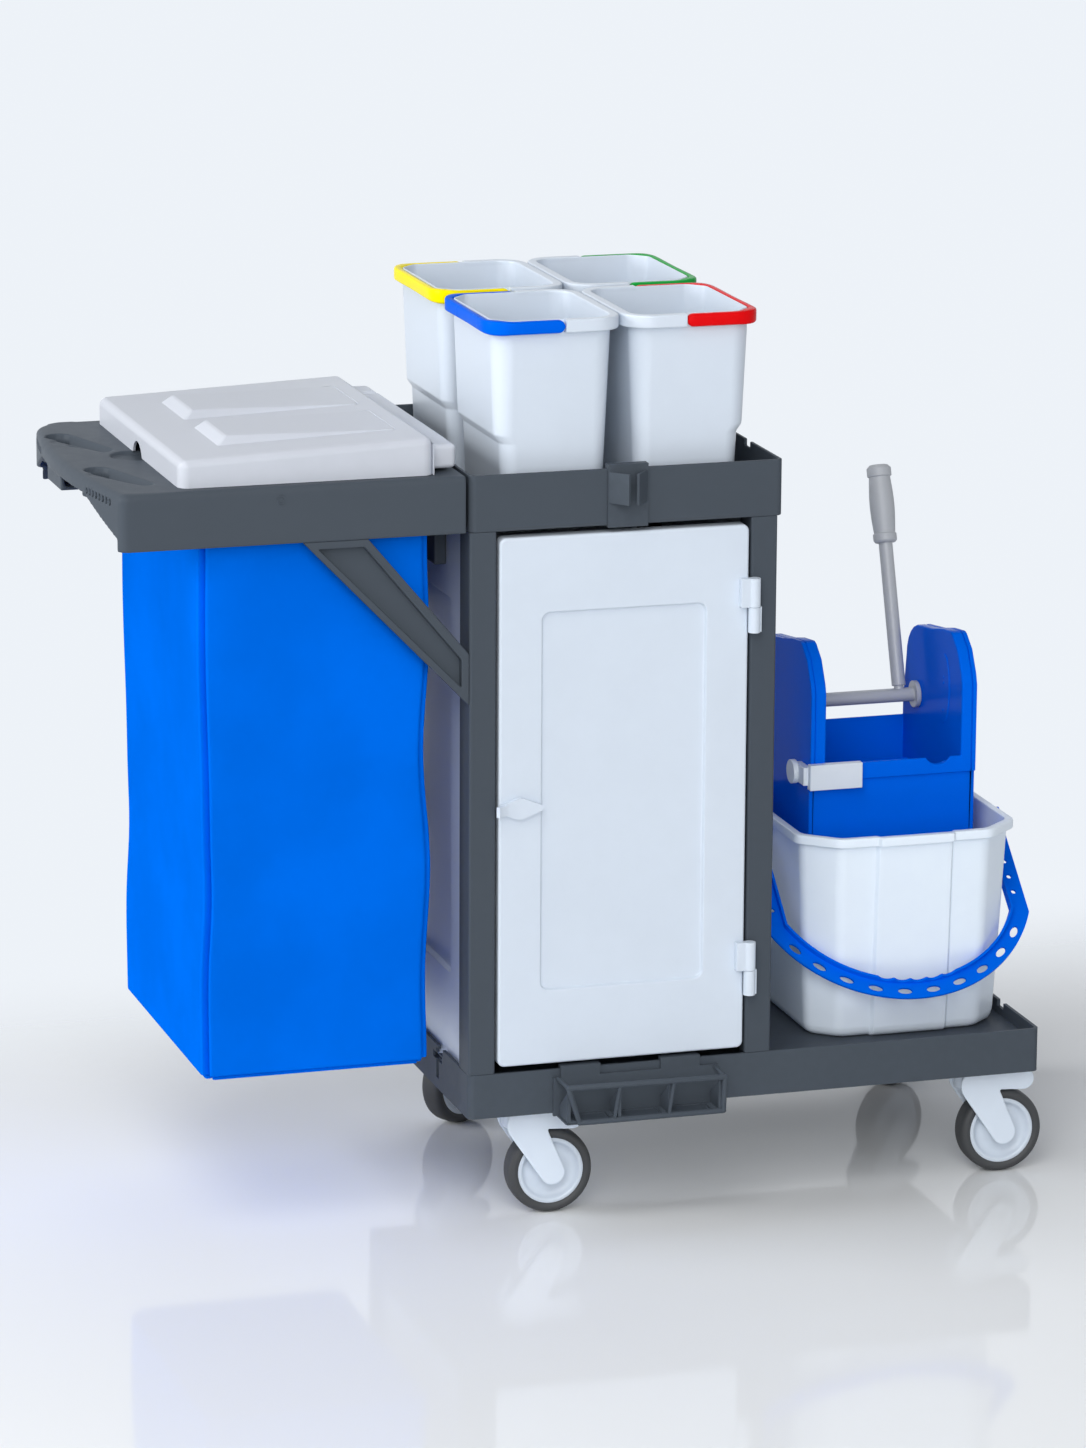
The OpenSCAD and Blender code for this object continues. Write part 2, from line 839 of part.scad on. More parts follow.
module bag_frame() {
  color(grey) at_origin() {
    difference() {
      union() {
        // Deep skirt on the sides and the cabinet end, shallow under the handle
        difference() {
          prism(tray_z, tray_top) frame_plan(0);
          prism(tray_z - over, plate_z) frame_plan(frame_wall);
          slab_x(handle_x - over, bag_x0 - lip_t) polygon([
            [arch_y, tray_z - over], [arch_y, tray_z + arch_foot], [arch_y + arch_l, tray_top - handle_h],
            [base_w - arch_y - arch_l, tray_top - handle_h], [base_w - arch_y, tray_z + arch_foot],
            [base_w - arch_y, tray_z - over]
          ]);
        }
        // Lip around the bag, with the ledge that its hem stands on
        prism(lip_z, plate_z + over) bag_opening(-lip_out);
        prism(lip_z, lip_z + ledge_t) bag_opening(-bag_wall - gap);
        // Tongues that hang the frame on the cabinet
        for (y = [tongue_y, base_w - tongue_y - tongue_w]) {
          box(frame_x1 - frame_wall, y, tongue_z, panel_in - gap, y + tongue_w, tongue_z + tongue_h);
          box(frame_x1 - frame_wall, y, tongue_z, frame_x1 - over, y + tongue_w, tray_z + 2 * frame_wall);
        }
        // Lugs of the lid's hinge
        for (y = lug_y) {
          box(pin_x - knuckle_r, y, plate_z, pin_x + knuckle_r, y + lug_w, pin_z);
          rod_y(y, y + lug_w, pin_x, pin_z, 2 * knuckle_r);
        }
        // Tool hook under the handle
        slab_y(hook_y, hook_y + hook_w) {
          translate([handle_x + hook_in, hook_z]) square([hook_t, plate_z + over - hook_z]);
          translate([handle_x + hook_in, hook_z]) square([hook_l, hook_t]);
          translate([handle_x + hook_in + hook_l - hook_t, hook_z]) square([hook_t, hook_up]);
        }
      }
      prism(lip_z - over, tray_top + over) bag_opening(-lip_out - lip_t);
      rod_y(lug_y[0] - over, lug_y[2] + lug_w + over, pin_x, pin_z, lid_pin_d + 2 * fit);
      // Grip holes and the finger channels that run from them
      for (y = [base_w / 2 - grip_pitch / 2, base_w / 2 + grip_pitch / 2]) {
        rod_z(tray_z, tray_top + over, frame_x0 + grip_in, y, grip_d);
        translate([frame_x0 + grip_in, y, tray_top + channel_up]) rotate([0, 90, -channel_a])
          cylinder(h = channel_l, d1 = channel_d[0], d2 = channel_d[1]);
      }
      // Finger dish under the edge of the lid
      rod_z(tray_top - dish_t, tray_top + over, lid_x0 - lid_wall, base_w / 2, dish_w);
      // Two rows of small slots in the handle's outer face
      for (i = [0 : slot_count - 1], m = [0, 1]) translate([0, m * base_w, 0]) mirror([0, m, 0]) box(
        handle_x - over, slot_y + i * slot_pitch, tray_top - slot_top - slot_h,
        frame_x0 + 2, slot_y + i * slot_pitch + slot_w, tray_top - slot_top
      );
    }
  }
}

// Diagonal brace with a raised border, between a post and the frame's underside
module brace() {
  z0 = tray_z - brace_h;
  edge = brace_edge;
  slope = (brace_h - brace_foot) / (brace_l - brace_top);
  outer = [[-brace_l, tray_z], [-brace_l + brace_top, tray_z], [0, z0 + brace_foot], [0, z0]];
  inner = [
    [-brace_l + 2 * edge, tray_z - edge], [-brace_l + brace_top - edge / 2, tray_z - edge],
    [-edge, z0 + brace_foot - edge * slope + edge / 2], [-edge, z0 + 2.4 * edge]
  ];
  difference() {
    slab_y(brace_in, brace_in + brace_t) polygon(outer);
    slab_y(0, brace_in + brace_t - brace_web) polygon(inner);
  }
}

module brace_front() {
  color(grey) at_origin() brace();
}

module brace_back() {
  color(grey) at_origin() translate([0, base_w, 0]) mirror([0, 1, 0]) brace();
}

// Soft bag: an open sack whose hem stands on the lip's ledge
module bag_shape(t, top) {
  hull() {
    prism(bag_z + bag_foot, top) bag_opening(-t, $fn = 32);
    prism(bag_z + t, bag_z + t + 1) bag_opening(-bag_taper - t, $fn = 32);
  }
}

module waste_bag() {
  hem_z = lip_z + ledge_t + gap;
  color("dodgerblue") at_origin() difference() {
    bag_shape(0, plate_z - over);
    bag_shape(bag_wall, hem_z);
    prism(hem_z - over, plate_z) bag_opening(-bag_wall - hem);
  }
}

module tool_clip() {
  fz = tray_top - finger_h - finger_drop;
  back = tray_wall + clip_t;
  color(grey) at_origin() {
    box(clip_x, -clip_t, tray_z - clip_below, clip_x + clip_w, 0, tray_top + clip_over);
    box(clip_x, -clip_t, tray_top, clip_x + clip_w, back, tray_top + clip_over);
    box(clip_x, tray_wall, tray_top - clip_hook, clip_x + clip_w, back, tray_top + over);
    for (m = [0, 1]) translate([clip_x + m * clip_w, over - clip_t, fz]) mirror([m, 0, 0])
      rotate([0, 0, finger_lean - 90]) cube([finger_l, finger_t, finger_h]);
  }
}

module mop_rack() {
  x1 = rack_x + rack_l;
  y0 = -rack_d - rack_t;
  top = rack_z + rack_h;
  step = (rack_l - rack_t) / 3;
  color(grey) at_origin() {
    // Back plate hooked over the rim of the base
    box(rack_x - rack_side, -rack_t, rack_z + 2, x1 + rack_side - 1, 0, top + 3);
    for (x = rack_hook) translate([rack_x + x, 0, 0]) {
      box(0, -rack_t, top, rack_hook_w, 0, base_top + rack_t);
      box(0, -rack_t, base_top, rack_hook_w, tray_wall + 3, base_top + rack_t);
    }
    // Floor with drain gaps, front bar, dividers and pickets
    difference() {
      box(rack_x, y0, rack_z, x1, over - rack_t, rack_z + rack_t);
      for (i = [0 : 2]) box(
        rack_x + rack_t + i * step + drain_in, y0 + drain_in + 1, rack_z - over,
        rack_x + (i + 1) * step - drain_in, -rack_t - rack_bar, rack_z + rack_t + over
      );
    }
    box(rack_x, y0, top - rack_bar, x1, y0 + rack_t, top);
    for (i = [0 : 3]) slab_x(rack_x + i * step, rack_x + i * step + rack_t) polygon([
      [y0, rack_z], [over - rack_t, rack_z], [over - rack_t, rack_z + rack_toe],
      [y0 + 2 * rack_t, top - rack_bar - 3], [y0 + rack_t, top], [y0, top]
    ]);
    for (i = [1 : 2]) translate([rack_x + i * step + picket_x, 0, 0])
      box(0, y0, rack_z, picket_w, y0 + rack_t, top);
  }
}

// Fixed hinge halves with their upright pins
module hinge_leaves() {
  color(white) at_origin() for (z = hinge_z) {
    rod_z(z, z + hinge_h - gap, hinge_x, hinge_y, 2 * hinge_r);
    box(hinge_x, hinge_y, z, hinge_x + leaf_w, 0, z + hinge_h - gap);
    rod_z(z, z + 2 * hinge_h - pin_short, hinge_x, hinge_y, hinge_pin_d);
  }
}

// Hinge halves on the door, sleeved over the pins
module hinge_knuckles() {
  color(white) at_origin() for (z = hinge_z) difference() {
    union() {
      rod_z(z + hinge_h, z + 2 * hinge_h + knuckle_cap, hinge_x, hinge_y, 2 * hinge_r);
      box(
        door_x1 - leaf_in, hinge_y - leaf_t, z + hinge_h,
        hinge_x, door_y0, z + 2 * hinge_h + knuckle_cap
      );
    }
    rod_z(z, z + 2 * hinge_h - pin_short + over, hinge_x, hinge_y, hinge_pin_d + 2 * fit);
  }
}

module door_plan(inset) {
  rrect(door_x0 + inset, door_z0 + inset, door_x1 - inset, door_z1 - inset, door_r);
}

module recess_plan(out) {
  rrect(
    door_x0 + door_border - out, door_z0 + door_border_z - out,
    door_x1 - door_border + out, door_z1 - door_border_z + out, recess_r + out
  );
}

module door_panel() {
  floor_y = door_y0 + door_recess;
  color(white) at_origin() difference() {
    union() {
      slab_y(door_y0, door_y0 + door_skin) door_plan(0);
      slab_y(door_y0, door_y1) difference() {
        door_plan(0);
        door_plan(door_edge);
      }
      slab_y(door_y0, floor_y + door_skin) recess_plan(door_skin);
      for (i = [1 : 5]) {
        z = door_z0 + i * (door_z1 - door_z0) / 6;
        box(
          door_x0 + door_edge / 2, door_y0 + door_skin - over, z - rib_t / 2,
          door_x1 - door_edge / 2, door_y1 - rib_t, z + rib_t / 2
        );
      }
      rod_y(door_y0, door_y1, latch_x, latch_zz, 2 * latch_d);
    }
    slab_y(door_y0 - over, floor_y) recess_plan(0);
    rod_y(door_y0 - over, door_y1 + over, latch_x, latch_zz, latch_d + 2 * fit);
  }
}

// Leaf-shaped turning handle with a lifted finger end
module latch_handle() {
  y1 = door_y0 - gap;
  p = [latch_x, latch_zz];
  color(white) at_origin() {
    slab_y(y1 - latch_t, y1) {
      taper_bar(p, latch_r, p + [latch_tail[0], 0], latch_tail[1]);
      taper_bar(p, latch_r, p - [latch_nose[0], 0], latch_nose[1]);
    }
    prism(latch_zz - finger_w / 2, latch_zz + finger_w / 2) translate([latch_x, y1 - latch_t]) polygon([
      [-finger_root, latch_t - over], [-finger_root, 0],
      [-finger_tip, -finger_lift], [-finger_tip - 3, 3 - finger_lift]
    ]);
    rod_y(y1 - over, door_y1 + cam_t + over, latch_x, latch_zz, latch_d);
  }
}

// Locking bar behind the door, upright while the door is free
module latch_cam() {
  y0 = door_y1 + 0.5;
  p = [latch_x, latch_zz];
  color(grey) at_origin() difference() {
    slab_y(y0, y0 + cam_t) {
      translate(p) circle(cam_r);
      translate(p - [cam_w / 2, 0]) square([cam_w, cam_l]);
      translate(p + [0, cam_l]) circle(cam_w / 2);
    }
    rod_y(y0 - over, y0 + cam_t + over, latch_x, latch_zz, latch_d + 2 * fit);
  }
}

module lid_pin() {
  color("silver") at_origin() 
    rod_y(lug_y[0] - pin_end, lug_y[2] + lug_w + pin_end, pin_x, pin_z, lid_pin_d);
}

// Side outline of the lid's shell, shrunk for the hollow
module lid_side(t) {
  foot = lid_z - (t > 0 ? over : 0);
  polygon([
    [lid_x0 + t, foot], [lid_x0 + t, lid_z + lid_low - lid_chin],
    [lid_x0 + lid_bevel, lid_z + lid_low - t], [lid_x1 - lid_bevel, lid_z + lid_high - t],
    [lid_x1 - t, lid_z + lid_high - lid_bevel], [lid_x1 - t, foot]
  ]);
}

module bag_lid() {
  lid_y1 = lid_y0 + lid_w;
  strip_y0 = lug_y[0] - strip_end;
  strip_y1 = lug_y[2] + lug_w + strip_end;
  strip_x1 = pin_x + knuckle_r + 1;
  roof_z = pin_z + lid_roof;
  color(white) at_origin() difference() {
    union() {
      difference() {
        slab_y(lid_y0, lid_y1) lid_side(0);
        slab_y(lid_y0 + lid_wall, lid_y1 - lid_wall) lid_side(lid_wall);
      }
      // Wedge pads on the sloping top
      for (y = pad_y) slab_y(base_w / 2 + y, base_w / 2 + y + pad_w) polygon([
        [lid_x0 + pad_end, lid_z + lid_low - 2], [lid_x0 + pad_end + pad_run, lid_z + lid_low + pad_h],
        [lid_x1 - pad_end, lid_z + lid_high - 1.5], [lid_x1 - pad_end, lid_z + lid_high - 6]
      ]);
      // Hinge strip: roof, end cheeks and the knuckles between the lugs
      box(lid_x1 - roof_t, strip_y0, roof_z, strip_x1, strip_y1, roof_z + roof_t);
      for (y = [strip_y0, strip_y1 - roof_t])
        box(lid_x1 - over, y, pin_z - knuckle_r + 1, strip_x1, y + roof_t, roof_z + over);
      for (i = [0, 1]) {
        y0 = lug_y[i] + lug_w + 1;
        y1 = lug_y[i + 1] - 1;
        box(pin_x - knuckle_r, y0, pin_z, pin_x + knuckle_r, y1, roof_z + over);
        rod_y(y0, y1, pin_x, pin_z, 2 * knuckle_r);
      }
    }
    rod_y(strip_y0 - over, strip_y1 + over, pin_x, pin_z, lid_pin_d + 2 * fit);
    // Finger notch in the edge over the push handle
    rod_x(lid_x0 - over, lid_x0 + arch_in, base_w / 2, lid_z + arch_up - arch_w / 2, arch_w);
  }
}

// Bins, drawn about the rim's middle with the bail towards -x
module bin_plan(inset) {
  rrect(-bin_l / 2 + inset, -bin_w / 2 + inset, bin_l / 2 - inset, bin_w / 2 - inset, rim_r - inset);
}

module bin_shape(t, z0) {
  outer = -bin_l / 2 + t;
  at_step = outer + rim_t + bin_draft * (1 - bin_step_z / bin_h);
  difference() {
    hull() {
      prism(bin_h - 1, bin_h + t) bin_plan(rim_t + t, $fn = 32);
      prism(z0, z0 + 1) bin_plan(bin_foot + t, $fn = 32);
    }
    // Outer side set back towards the foot
    slab_y(-bin_w, bin_w) polygon([
      [outer - bin_l, -1], [outer + bin_foot + bin_step, -1], [at_step + bin_step, bin_step_z + t],
      [at_step - 1, bin_step_z + bin_fade + t], [outer - bin_l, bin_step_z + bin_fade + t]
    ]);
  }
}

module bin() {
  boss_y = bin_w / 2 - rim_t - boss_t / 2;
  difference() {
    union() {
      bin_shape(0, 0);
      // Full rim on the inner half, bosses for the bail's pegs
      prism(bin_h - rim_h, bin_h) difference() {
        bin_plan(0);
        bin_plan(rim_t + bin_wall);
        translate([-bin_l, -bin_w]) square([bin_l + bail_pivot + bail_end_r + 1, 2 * bin_w]);
      }
      for (s = [-1, 1])
        rod_y(s * boss_y - boss_t / 2, s * boss_y + boss_t / 2, bail_pivot, bail_z, bin_boss_d);
    }
    bin_shape(bin_wall, bin_wall);
    for (s = [-1, 1])
      rod_y(
        s * boss_y - boss_t / 2 - over, s * boss_y + boss_t / 2 + over,
        bail_pivot, bail_z, peg_d + 2 * fit
      );
  }
}

module bin_bail() {
  arm = bin_w / 2 - rim_t / 2;
  prism(bin_h - rim_h, bin_h) intersection() {
    difference() {
      bin_plan(0);
      bin_plan(rim_t - bail_slack);
    }
    translate([-bin_l, -bin_w]) square([bin_l + bail_pivot, 2 * bin_w]);
  }
  for (s = [-1, 1]) {
    inner = arm - rim_t / 2 + bail_slack;
    outer = arm + rim_t / 2;
    tip = arm - rim_t / 2 - peg_l;
    rod_y(min(s * inner, s * outer), max(s * inner, s * outer), bail_pivot, bail_z, rim_h);
    rod_y(min(s * arm, s * tip), max(s * arm, s * tip), bail_pivot, bail_z, peg_d);
  }
}

// Places a bin or bail: side 0 left or 1 right, row 0 front or 1 back
module at_bin(side, row) {
  x = bins_mid + (side == 0 ? -bin_dx : bin_dx);
  y = base_w / 2 + (row == 0 ? -bin_dy : bin_dy);
  at_origin() translate([x, y, tray_floor + gap]) mirror([side, 0, 0]) children();
}

module bin_front_left() {
  color(white) at_bin(0, 0) bin();
}

module bin_back_left() {
  color(white) at_bin(0, 1) bin();
}

module bin_front_right() {
  color(white) at_bin(1, 0) bin();
}

module bin_back_right() {
  color(white) at_bin(1, 1) bin();
}

module bail_front_left() {
  color("blue") at_bin(0, 0) bin_bail();
}

module bail_back_left() {
  color("gold") at_bin(0, 1) bin_bail();
}

module bail_front_right() {
  color("red") at_bin(1, 0) bin_bail();
}

module bail_back_right() {
  color("green") at_bin(1, 1) bin_bail();
}

// Eight-sided plan of the bucket with its raised front panel
module bucket_plan(inset) {
  a = bucket_l / 2 - inset;
  b = bucket_w / 2 - inset;
  c = bucket_cut - inset * 0.6;
  p = bucket_panel / 2;
  polygon([
    [-a, -b + c * 0.9], [-a + c, -b], [-p, -b], [-p + panel_side, -b - panel_proud],
    [p - panel_side, -b - panel_proud], [p, -b], [a - c, -b], [a, -b + c * 0.9],
    [a, b - c * 0.9], [a - c, b], [-a + c, b], [-a, b - c * 0.9]
  ]);
}

module bucket_shape(t, z0) {
  hull() {
    prism(bucket_h - 1, bucket_h + t) bucket_plan(bucket_over + t);
    prism(z0 + bucket_foot, z0 + bucket_foot + 1) bucket_plan(bucket_over + bucket_draft - 1 + t);
    prism(z0, z0 + 1) bucket_plan(bucket_over + bucket_draft + foot_in + t);
  }
}

module at_bucket() {
  at_origin() translate([bucket_x, bucket_y, bucket_z]) children();
}

module bucket() {
  pz = bail_pz - bucket_z;
  color(white) at_bucket() difference() {
    union() {
      bucket_shape(0, 0);
      prism(bucket_h - bucket_rim, bucket_h) bucket_plan(0);
      for (s = [0, 1]) mirror([s, 0, 0])
        rod_x(bucket_l / 2 - pivot_in, bucket_l / 2 - over, 0, pz, pivot_d + 2 * pivot_boss);
    }
    bucket_shape(bucket_wall, bucket_wall);
    for (s = [0, 1]) mirror([s, 0, 0])
      rod_x(bucket_l / 2 - pivot_in - over, bucket_l / 2 + over, 0, pz, pivot_d + 2 * fit);
  }
}

// Bail drawn flat: pivots on the x axis, hanging towards -y
module bail_plan(out) {
  w = bail_half + out;
  intersection() {
    translate([0, -bail_bow]) circle(bail_r + out, $fn = 120);
    translate([-w, -bail_bow - bail_r - out]) square([2 * w, bail_r + out]);
  }
  translate([-w, -bail_bow - 1]) square([2 * w, bail_bow + 1]);
}

module bucket_bail() {
  h = band_w / 2;
  lip_top = band_t / 2 + bail_lip;
  grip_y = -bail_reach + h;
  color(blue) at_origin() translate([bucket_x, bucket_y, bail_pz]) rotate([bail_tilt, 0, 0]) {
    difference() {
      translate([0, 0, -band_t / 2]) linear_extrude(band_t) difference() {
        bail_plan(h);
        bail_plan(-h);
      }
      // Oval holes round the bow and round holes up the arms
      for (a = [-54 : oval_step : 54]) translate([0, -bail_bow, 0]) rotate([0, 0, a - 90])
        translate([bail_r + oval_out, 0, -band_t]) linear_extrude(2 * band_t) intersection() {
          circle(d = oval_l);
          square([oval_w, oval_l + 1], center = true);
        }
      for (s = [-1, 1], y = [hole_y[0] : hole_pitch : hole_y[1]])
        translate([s * bail_half, -y, -band_t]) cylinder(h = 2 * band_t, d = hole_d);
    }
    // Lip along the inner edge, scalloped for the fingers where it is held
    difference() {
      translate([0, 0, band_t / 2 - over]) linear_extrude(bail_lip + over) difference() {
        bail_plan(-h + lip_wall + 0.5);
        bail_plan(-h + 0.5);
        translate([-bail_r, -lip_start]) square([2 * bail_r, bail_reach]);
      }
      for (i = [-2 : 2]) rod_y(
        grip_y - 2 * lip_wall, grip_y + scallop_d, i * scallop_pitch,
        lip_top + scallop_d / 2 - scallop_deep, scallop_d
      );
    }
    for (s = [0, 1]) mirror([s, 0, 0]) {
      rod_x(bail_half - h, bail_half + h, 0, 0, pivot_d + pivot_boss);
      rod_x(bail_half - h - pivot_l, bail_half, 0, 0, pivot_d);
    }
  }
}

// Side outline of the wringer's cheeks, in y and z
module cheek_plan(t) {
  y0 = hop_y0 + t;
  y1 = hop_y1 - t;
  z0 = ledge - ledge_h + t;
  top = lever_zz + cheek_rise - t;
  r = cheek_r - t;
  crest = y0 + cheek_front;
  back = [lever_yy - 3, lever_zz + cheek_back];
  fall = top - back[1] - r;
  polygon(concat(
    [[y0, z0], [y0, lever_zz + cheek_r], [y0 + 4, lever_zz + cheek_r + 13]],
    [[y0 + 19, top - 17], [crest - 6, top - 2], [crest, top]],
    [for (k = [0.3, 0.6]) [crest + k * (back[0] - crest), top - fall * k * k * (3 - 2 * k)]],
    [for (a = [90 : -15 : 0]) back + r * [cos(a), sin(a)]],
    [[y1, lever_zz - cheek_waist], [y1, z0]]
  ));
}

module lower_plan(t) {
  polygon([
    [hop_y0 + ledge_in + t, ledge], [hop_y1 - t, ledge], [hop_y1 - t, press_zz - sump + t],
    [press_yy - sump_l, press_zz - sump + t], [hop_y0 + ledge_in + t, press_zz + floor_up]
  ]);
}

module side_plan(t) {
  cheek_plan(t);
  lower_plan(t);
}

module wringer_body() {
  w = wringer_l / 2;
  half = cheek_in + over;
  floor_z = press_zz - sump;
  step_y = hop_y0 + ledge_in;
  rim_y = bucket_y + bucket_w / 2;
  color(blue) at_origin() translate([bucket_x, 0, 0]) difference() {
    union() {
      // Hollow cheeks, open outwards
      for (s = [0, 1]) mirror([s, 0, 0]) difference() {
        slab_x(cheek_in, w - cover_t - 0.2) side_plan(0);
        slab_x(cheek_in + skin, w) side_plan(skin);
      }
      // Front wall and ledge, back wall, sloping strainer floor
      box(-half, hop_y0, ledge - ledge_h, half, step_y, ledge);
      box(-half, step_y, press_zz + floor_up - hop_wall, half, step_y + hop_wall, ledge - 6);
      box(-half, hop_y1 - hop_wall, floor_z, half, hop_y1, ledge + hop_wall);
      slab_x(-half, half) polygon([
        [step_y, press_zz + floor_up], [step_y, press_zz + floor_up - hop_wall],
        [press_yy - sump_l, floor_z], [hop_y1, floor_z], [hop_y1, floor_z + hop_wall],
        [press_yy - sump_l + 2, floor_z + hop_wall]
      ]);
      // Hooks over the bucket's back rim
      for (m = [0, 1]) mirror([m, 0, 0]) translate([cheek_in - hanger_x, 0, rim_z]) {
        box(
          -hanger_w / 2, hop_y1 - over, hanger_up, hanger_w / 2, rim_y + hanger_over, hanger_up + hanger_t
        );
        box(
          -hanger_w / 2, rim_y - hanger_grip, gap, hanger_w / 2, rim_y + hanger_over, hanger_up + 2
        );
      }
    }
    // Half-round notch in the front edge
    rod_y(hop_y0 - over, step_y + hop_wall + over, cheek_in - notch_x, ledge + notch_up, notch_d);
    // Strainer slots
    for (x = strain_x) box(
      x - strain_w / 2, hop_y0 + strain_in, floor_z - over,
      x + strain_w / 2, press_yy - strain_end, press_zz + floor_up
    );
    // Bores of the lever's axle and the press plate's shaft
    rod_x(-w, w, lever_yy, lever_zz, lever_d + 2 * fit);
    rod_x(-w, w, press_yy, press_zz, press_d + 2 * fit);
  }
}

// Plates that close the cheeks, with ears that stand on the bucket's side rims
module wringer_covers() {
  w = wringer_l / 2;
  ear_y = lever_yy + 1;
  color(blue) at_origin() translate([bucket_x, 0, 0])
    for (s = [0, 1]) mirror([s, 0, 0]) {
      slab_x(w - cover_t, w) side_plan(0);
      box(w - over, ear_y - ear_w / 2, rim_z + gap, bucket_l / 2, ear_y + ear_w / 2, rim_z + ear_t);
    }
}

// Catch that wraps the hopper's front corner
module wringer_clip() {
  x0 = bucket_x - wringer_l / 2 - catch_over;
  z0 = ledge - catch_drop;
  inner = x0 + catch_over - gap;
  cap_y = hop_y0 + catch_side - catch_over;
  color("silver") at_origin() difference() {
    union() {
      box(x0, hop_y0 - catch_t, z0, x0 + catch_l, hop_y0 - gap, z0 + catch_h);
      box(x0 - 6, hop_y0 - 3, z0 + 5, inner, hop_y0 + catch_side, z0 + catch_h - catch_over);
      rod_x(x0 - 12, x0 - 5, cap_y, z0 + catch_h / 2 + 0.5, catch_cap);
    }
    box(inner, hop_y0 - gap, z0 - over, x0 + catch_l, hop_y0 + 2 * catch_side, z0 + catch_h + over);
  }
}

module lever_axle() {
  w = crank_x + crank_t;
  color("darkgray") at_origin() translate([bucket_x, 0, 0]) {
    rod_x(-w, w, lever_yy, lever_zz, lever_d);
    for (s = [0, 1]) mirror([s, 0, 0])
      rod_x(cheek_in - collar_t, cheek_in - gap, lever_yy, lever_zz, collar_d);
    translate([stub_x - bucket_x, lever_yy, lever_zz]) rotate([-lever_lean, 0, 0])
      rod_z(0, stub_l, 0, 0, stub_d);
  }
}

module at_lever() {
  at_origin() translate([stub_x, lever_yy, lever_zz]) rotate([-lever_lean, 0, 0]) children();
}

module lever_tube() {
  color("darkgray") at_lever() difference() {
    rod_z(lever_d / 2 + 3, lever_l - tube_end, 0, 0, lever_d);
    rod_z(0, stub_l + over, 0, 0, stub_d + 2 * fit);
  }
}

// Grip with a waist, end collars and three shallow rings
module lever_grip() {
  z0 = lever_l - grip_l;
  r = grip_r;
  color("gray") at_lever() difference() {
    translate([0, 0, z0]) rotate_extrude() polygon(concat(
      [[0, 0], [r - 3, 0], [r - 0.5, 3], [r - 0.5, 11], [r - 2, 12]],
      [for (k = [1 : 7]) [r - 2 + 2.2 * sin(k * 22.5), 12 + k * (grip_l - 27) / 8]],
      [[r - 2, grip_l - 15], [r, grip_l - 14], [r, grip_l - 4], [r - 4, grip_l], [0, grip_l]]
    ));
    rod_z(z0 - over, lever_l - tube_end + fit, 0, 0, lever_d + 2 * fit);
  }
}

// Pair of short arms on one shaft's ends, with pins for the links
module crank_pair(y, z, bore) {
  pin = crank_r * [cos(crank_a), sin(crank_a)];
  for (s = [0, 1]) mirror([s, 0, 0]) {
    difference() {
      slab_x(crank_x, crank_x + crank_t) translate([y, z]) taper_bar([0, 0], arm_r[0], pin, arm_r[1]);
      rod_x(crank_x - over, crank_x + crank_t + over, y, z, bore);
    }
    rod_x(crank_x + crank_t - over, link_x + link_t, y + pin[0], z + pin[1], crank_pin);
  }
}

module lever_cranks() {
  color("silver") at_origin() translate([bucket_x, 0, 0])
    crank_pair(lever_yy, lever_zz, lever_d + 2 * fit);
}

module press_links() {
  pin = crank_r * [cos(crank_a), sin(crank_a)];
  a = [lever_yy, lever_zz] + pin;
  b = [press_yy, press_zz] + pin;
  color("silver") at_origin() translate([bucket_x, 0, 0])
    for (s = [0, 1]) mirror([s, 0, 0]) difference() {
      slab_x(link_x, link_x + link_t) taper_bar(a, arm_r[1], b, arm_r[1] - 0.1);
      for (p = [a, b]) rod_x(link_x - over, link_x + link_t + over, p[0], p[1], crank_pin + 2 * fit);
    }
}

// Press plate on its shaft, with its own arms inside the cheeks
module press_plate() {
  half = cheek_in - press_gap;
  color(blue) at_origin() translate([bucket_x, 0, 0]) {
    rod_x(-crank_x - crank_t, crank_x + crank_t, press_yy, press_zz, press_d);
    crank_pair(press_yy, press_zz, press_d - 3);
    translate([0, press_yy, press_zz]) rotate([2, 0, 0]) {
      box(-half, -2, 0, half, press_t - 2, press_h);
      for (x = strain_x) box(x - 2, -6, 8, x + 2, 0, press_h - 6);
    }
  }
}

// Casters, drawn about the kingpin with the wheel trailing towards +x
module at_caster(i, j) {
  at_origin() translate([caster_x[i], caster_y[j], 0]) rotate([0, 0, j * back_yaw]) children();
}

module fork() {
  difference() {
    union() {
      rod_z(crown_z, crown_top, 0, 0, neck_d);
      for (y = [-leg_out, leg_in])
        slab_y(y, y + leg_t)
          taper_bar([0, crown_top - leg_r[0] - 1], leg_r[0], [trail, wheel_r], leg_r[1]);
      slab_y(-leg_out, leg_out) taper_bar(
        [hood_x[0], crown_top - hood_drop[0]], hood_r[0],
        [trail + hood_x[1], crown_top - hood_drop[1]], hood_r[1]
      );
    }
    rod_z(0, crown_top + over, 0, 0, stem_d + 2 * fit);
    rod_z(0, crown_z + head_h, 0, 0, stem_d + 2 * (head_over + 1));
    rod_y(-leg_in, leg_in, trail, wheel_r, wheel_d + 2 * wheel_gap);
    rod_y(-leg_out - over, leg_out + over, trail, wheel_r, axle_d + 2 * fit);
  }
}

module caster_axle() {
  rod_y(-leg_out, leg_out, trail, wheel_r, axle_d);
}

module caster_wheel() {
  translate([trail, 0, wheel_r]) rotate([90, 0, 0]) difference() {
    cylinder(h = rim_w, d = rim_d - 2 * fit, center = true);
    cylinder(h = rim_w + 2 * over, d = axle_d + 2 * fit, center = true);
    for (s = [0, 1]) mirror([0, 0, s]) translate([0, 0, rim_w / 2 - dish_d]) difference() {
      cylinder(h = dish_d + over, d = rim_d - 2 * rim_edge);
      cylinder(h = dish_d + over, d = axle_d + 2 * hub_over);
    }
  }
}

